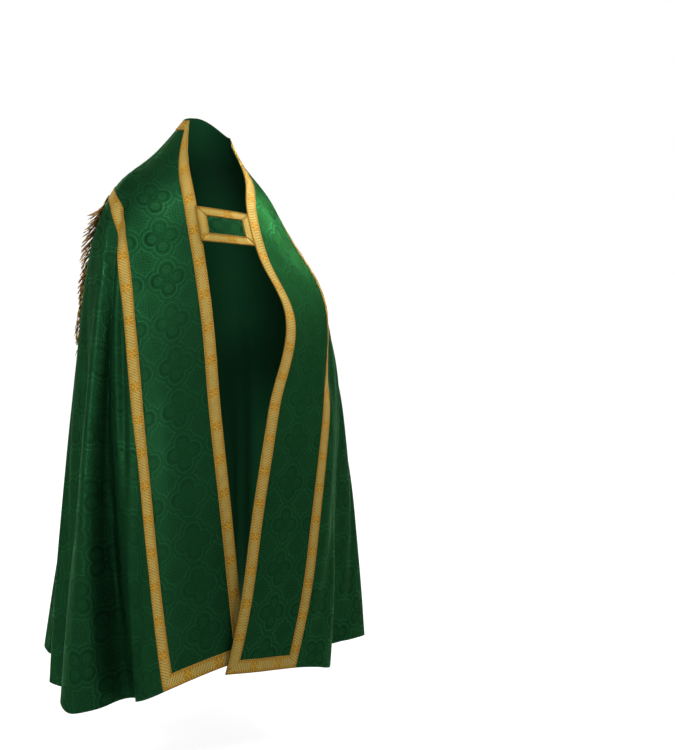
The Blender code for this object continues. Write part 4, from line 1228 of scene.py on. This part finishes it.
morse = morse_grid()
morse_normal = unit(np.cross(np.gradient(morse, axis=0), np.gradient(morse, axis=1)))
morse_place = np.stack(np.meshgrid(morse_stops - MORSE_WIDTH / 2,
                                   morse_heights - MORSE_HEIGHT / 2), -1)
morse_ids = grid_ids(*morse.shape[:2])
tab_points, tab_normals = morse.reshape(-1, 3), morse_normal.reshape(-1, 3)
tab_wall = thin_wall(tab_points, tab_normals, morse_place, grid_faces(morse_ids),
                     -HOOD_CLOTH, 0.0, HOOD_ROLL)
tab = sewn_piece("morse_tab", [tab_wall], [silk, twill])
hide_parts("morse_panel")
morse_strips = [morse_ids[:STEPS + 1].T, morse_ids[:-STEPS - 2:-1].T,
                morse_ids[:, :STEPS + 1], morse_ids[:, :-STEPS - 2:-1]]
tab_frame = sewn_piece(
    "morse_braid", [braid_wall(tab_points, tab_normals, ids, MORSE_BRAID, BOTH, MORSE_PUFF)
                    for ids in morse_strips],
    [galloon_weave("galloon_morse", MORSE_BRAID, MORSE_CONTRAST), braid_backing])
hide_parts("morse_galloon")


# ---- panel points ---------------------------------------------------------
# The points of each half's panel, between band, hem and middle of the back, are worked out
# once more; nothing below uses them.
for name, half in halves.items():
    panel_points = half.point(body_grid(half))


# ---- studio ---------------------------------------------------------------
# A pale floor a hand below the hem, a white room, and large soft lights. The floor glows, so
# that it meets the wall of the room without a line.
FLOOR_HEIGHT = -1.62
FLOOR_HALF = 30.0
FLOOR_PALE = 0.24
FLOOR_NEAR, FLOOR_FAR = 1.0, 5.0    # from the middle
FLOOR_GLOW = (0.90, 0.97)   # of the floor near by and far away, where it meets the wall
FLOOR_ROUGH = 0.9
ROOM_DIM = 0.28         # brightness of the room that lights the cope, against the white wall
VIEW_TURN = math.radians(-30)   # the camera stands to the right of the wearer, at chest height
VIEW_DISTANCE = 4.0
VIEW_HEIGHT = -0.28
AIM_TURN = math.radians(-4.87)  # and looks past the middle and down
AIM_DROP = math.radians(-5.41)
LENS = 73.5
SENSOR = 36.0
VIEW_END = 200.0        # nothing further away is seen
# round lamps: place, size, power, target, spread in degrees
LAMPS = {
    "key": ((-2.0, -2.8, 3.0), 1.6, 39, (-0.2, 0.0, 0.0), 74),
    "fill": ((1.6, -3.0, 2.6), 1.6, 29, (0.1, 0.0, -0.1), 84),
    "side": ((2.9, -0.4, 1.4), 1.0, 7, (0.17, -0.15, -0.16), 28),
    "low": ((-3.2, 0.0, 0.5), 1.2, 10, (-0.35, 0.0, -0.9), 56),
    "back": ((1.0, 2.8, 3.4), 1.8, 90, (0.0, 0.0, -0.6), 180),
    "back_low": ((-0.3, 3.6, 0.6), 2.0, 34, (0.0, 0.3, -0.8), 180),
}


def floor_finish():
    finish = bpy.data.materials.new("floor")
    finish.use_nodes = True
    shader = finish.node_tree.nodes["Principled BSDF"]
    shader.inputs["Base Color"].default_value = (FLOOR_PALE, FLOOR_PALE, FLOOR_PALE, 1.0)
    shader.inputs["Roughness"].default_value = FLOOR_ROUGH
    shader.inputs["Emission Color"].default_value = (1.0, 1.0, 1.0, 1.0)
    nodes, links = finish.node_tree.nodes, finish.node_tree.links
    place = nodes.new("ShaderNodeTexCoord")
    away = nodes.new("ShaderNodeVectorMath")
    away.operation = "LENGTH"
    far = nodes.new("ShaderNodeMapRange")
    for socket, value in zip(far.inputs[1:5], (FLOOR_NEAR, FLOOR_FAR, *FLOOR_GLOW)):
        socket.default_value = value
    links.new(place.outputs["Object"], away.inputs[0])
    links.new(away.outputs["Value"], far.inputs[0])
    links.new(far.outputs[0], shader.inputs["Emission Strength"])
    return finish


floor_mesh = bpy.data.meshes.new("floor")
floor_mesh.from_pydata([(x * FLOOR_HALF, y * FLOOR_HALF, FLOOR_HEIGHT)
                        for x, y in ((-1, -1), (1, -1), (1, 1), (-1, 1))], [], [(0, 1, 2, 3)])
floor_mesh.materials.append(floor_finish())
floor = placed("floor", floor_mesh)

room = bpy.data.worlds.new("room")
room.use_nodes = True
room_nodes, room_links = room.node_tree.nodes, room.node_tree.links
sight = room_nodes.new("ShaderNodeLightPath")
glow = room_nodes.new("ShaderNodeMapRange")
for socket, value in zip(glow.inputs[3:5], (ROOM_DIM, 1.0)):
    socket.default_value = value
room_links.new(sight.outputs["Is Camera Ray"], glow.inputs[0])
room_links.new(glow.outputs[0], room_nodes["Background"].inputs["Strength"])
room_nodes["Background"].inputs["Color"].default_value = (1.0, 1.0, 1.0, 1.0)
bpy.context.scene.world = room
bpy.context.scene.view_settings.view_transform = "Standard"


for name, (place, size, power, target, spread) in LAMPS.items():
    lamp = bpy.data.lights.new(name, "AREA")
    lamp.shape, lamp.size, lamp.energy, lamp.spread = "DISK", size, power, math.radians(spread)
    holder = placed(name, lamp)
    holder.location = place
    aim = np.array(target) - np.array(place)
    turn, drop = math.atan2(aim[1], aim[0]), math.atan2(aim[2], math.hypot(aim[0], aim[1]))
    holder.rotation_euler = (math.pi / 2 + drop, 0.0, turn - math.pi / 2)

camera_data = bpy.data.cameras.new("camera")
camera_data.lens = LENS
camera_data.sensor_width = SENSOR
camera_data.clip_end = VIEW_END
camera = placed("camera", camera_data)
camera.location = (VIEW_DISTANCE * math.sin(VIEW_TURN), -VIEW_DISTANCE * math.cos(VIEW_TURN),
                   VIEW_HEIGHT)
camera.rotation_euler = (math.pi / 2 + AIM_DROP, 0.0, VIEW_TURN + AIM_TURN)
bpy.context.scene.camera = camera
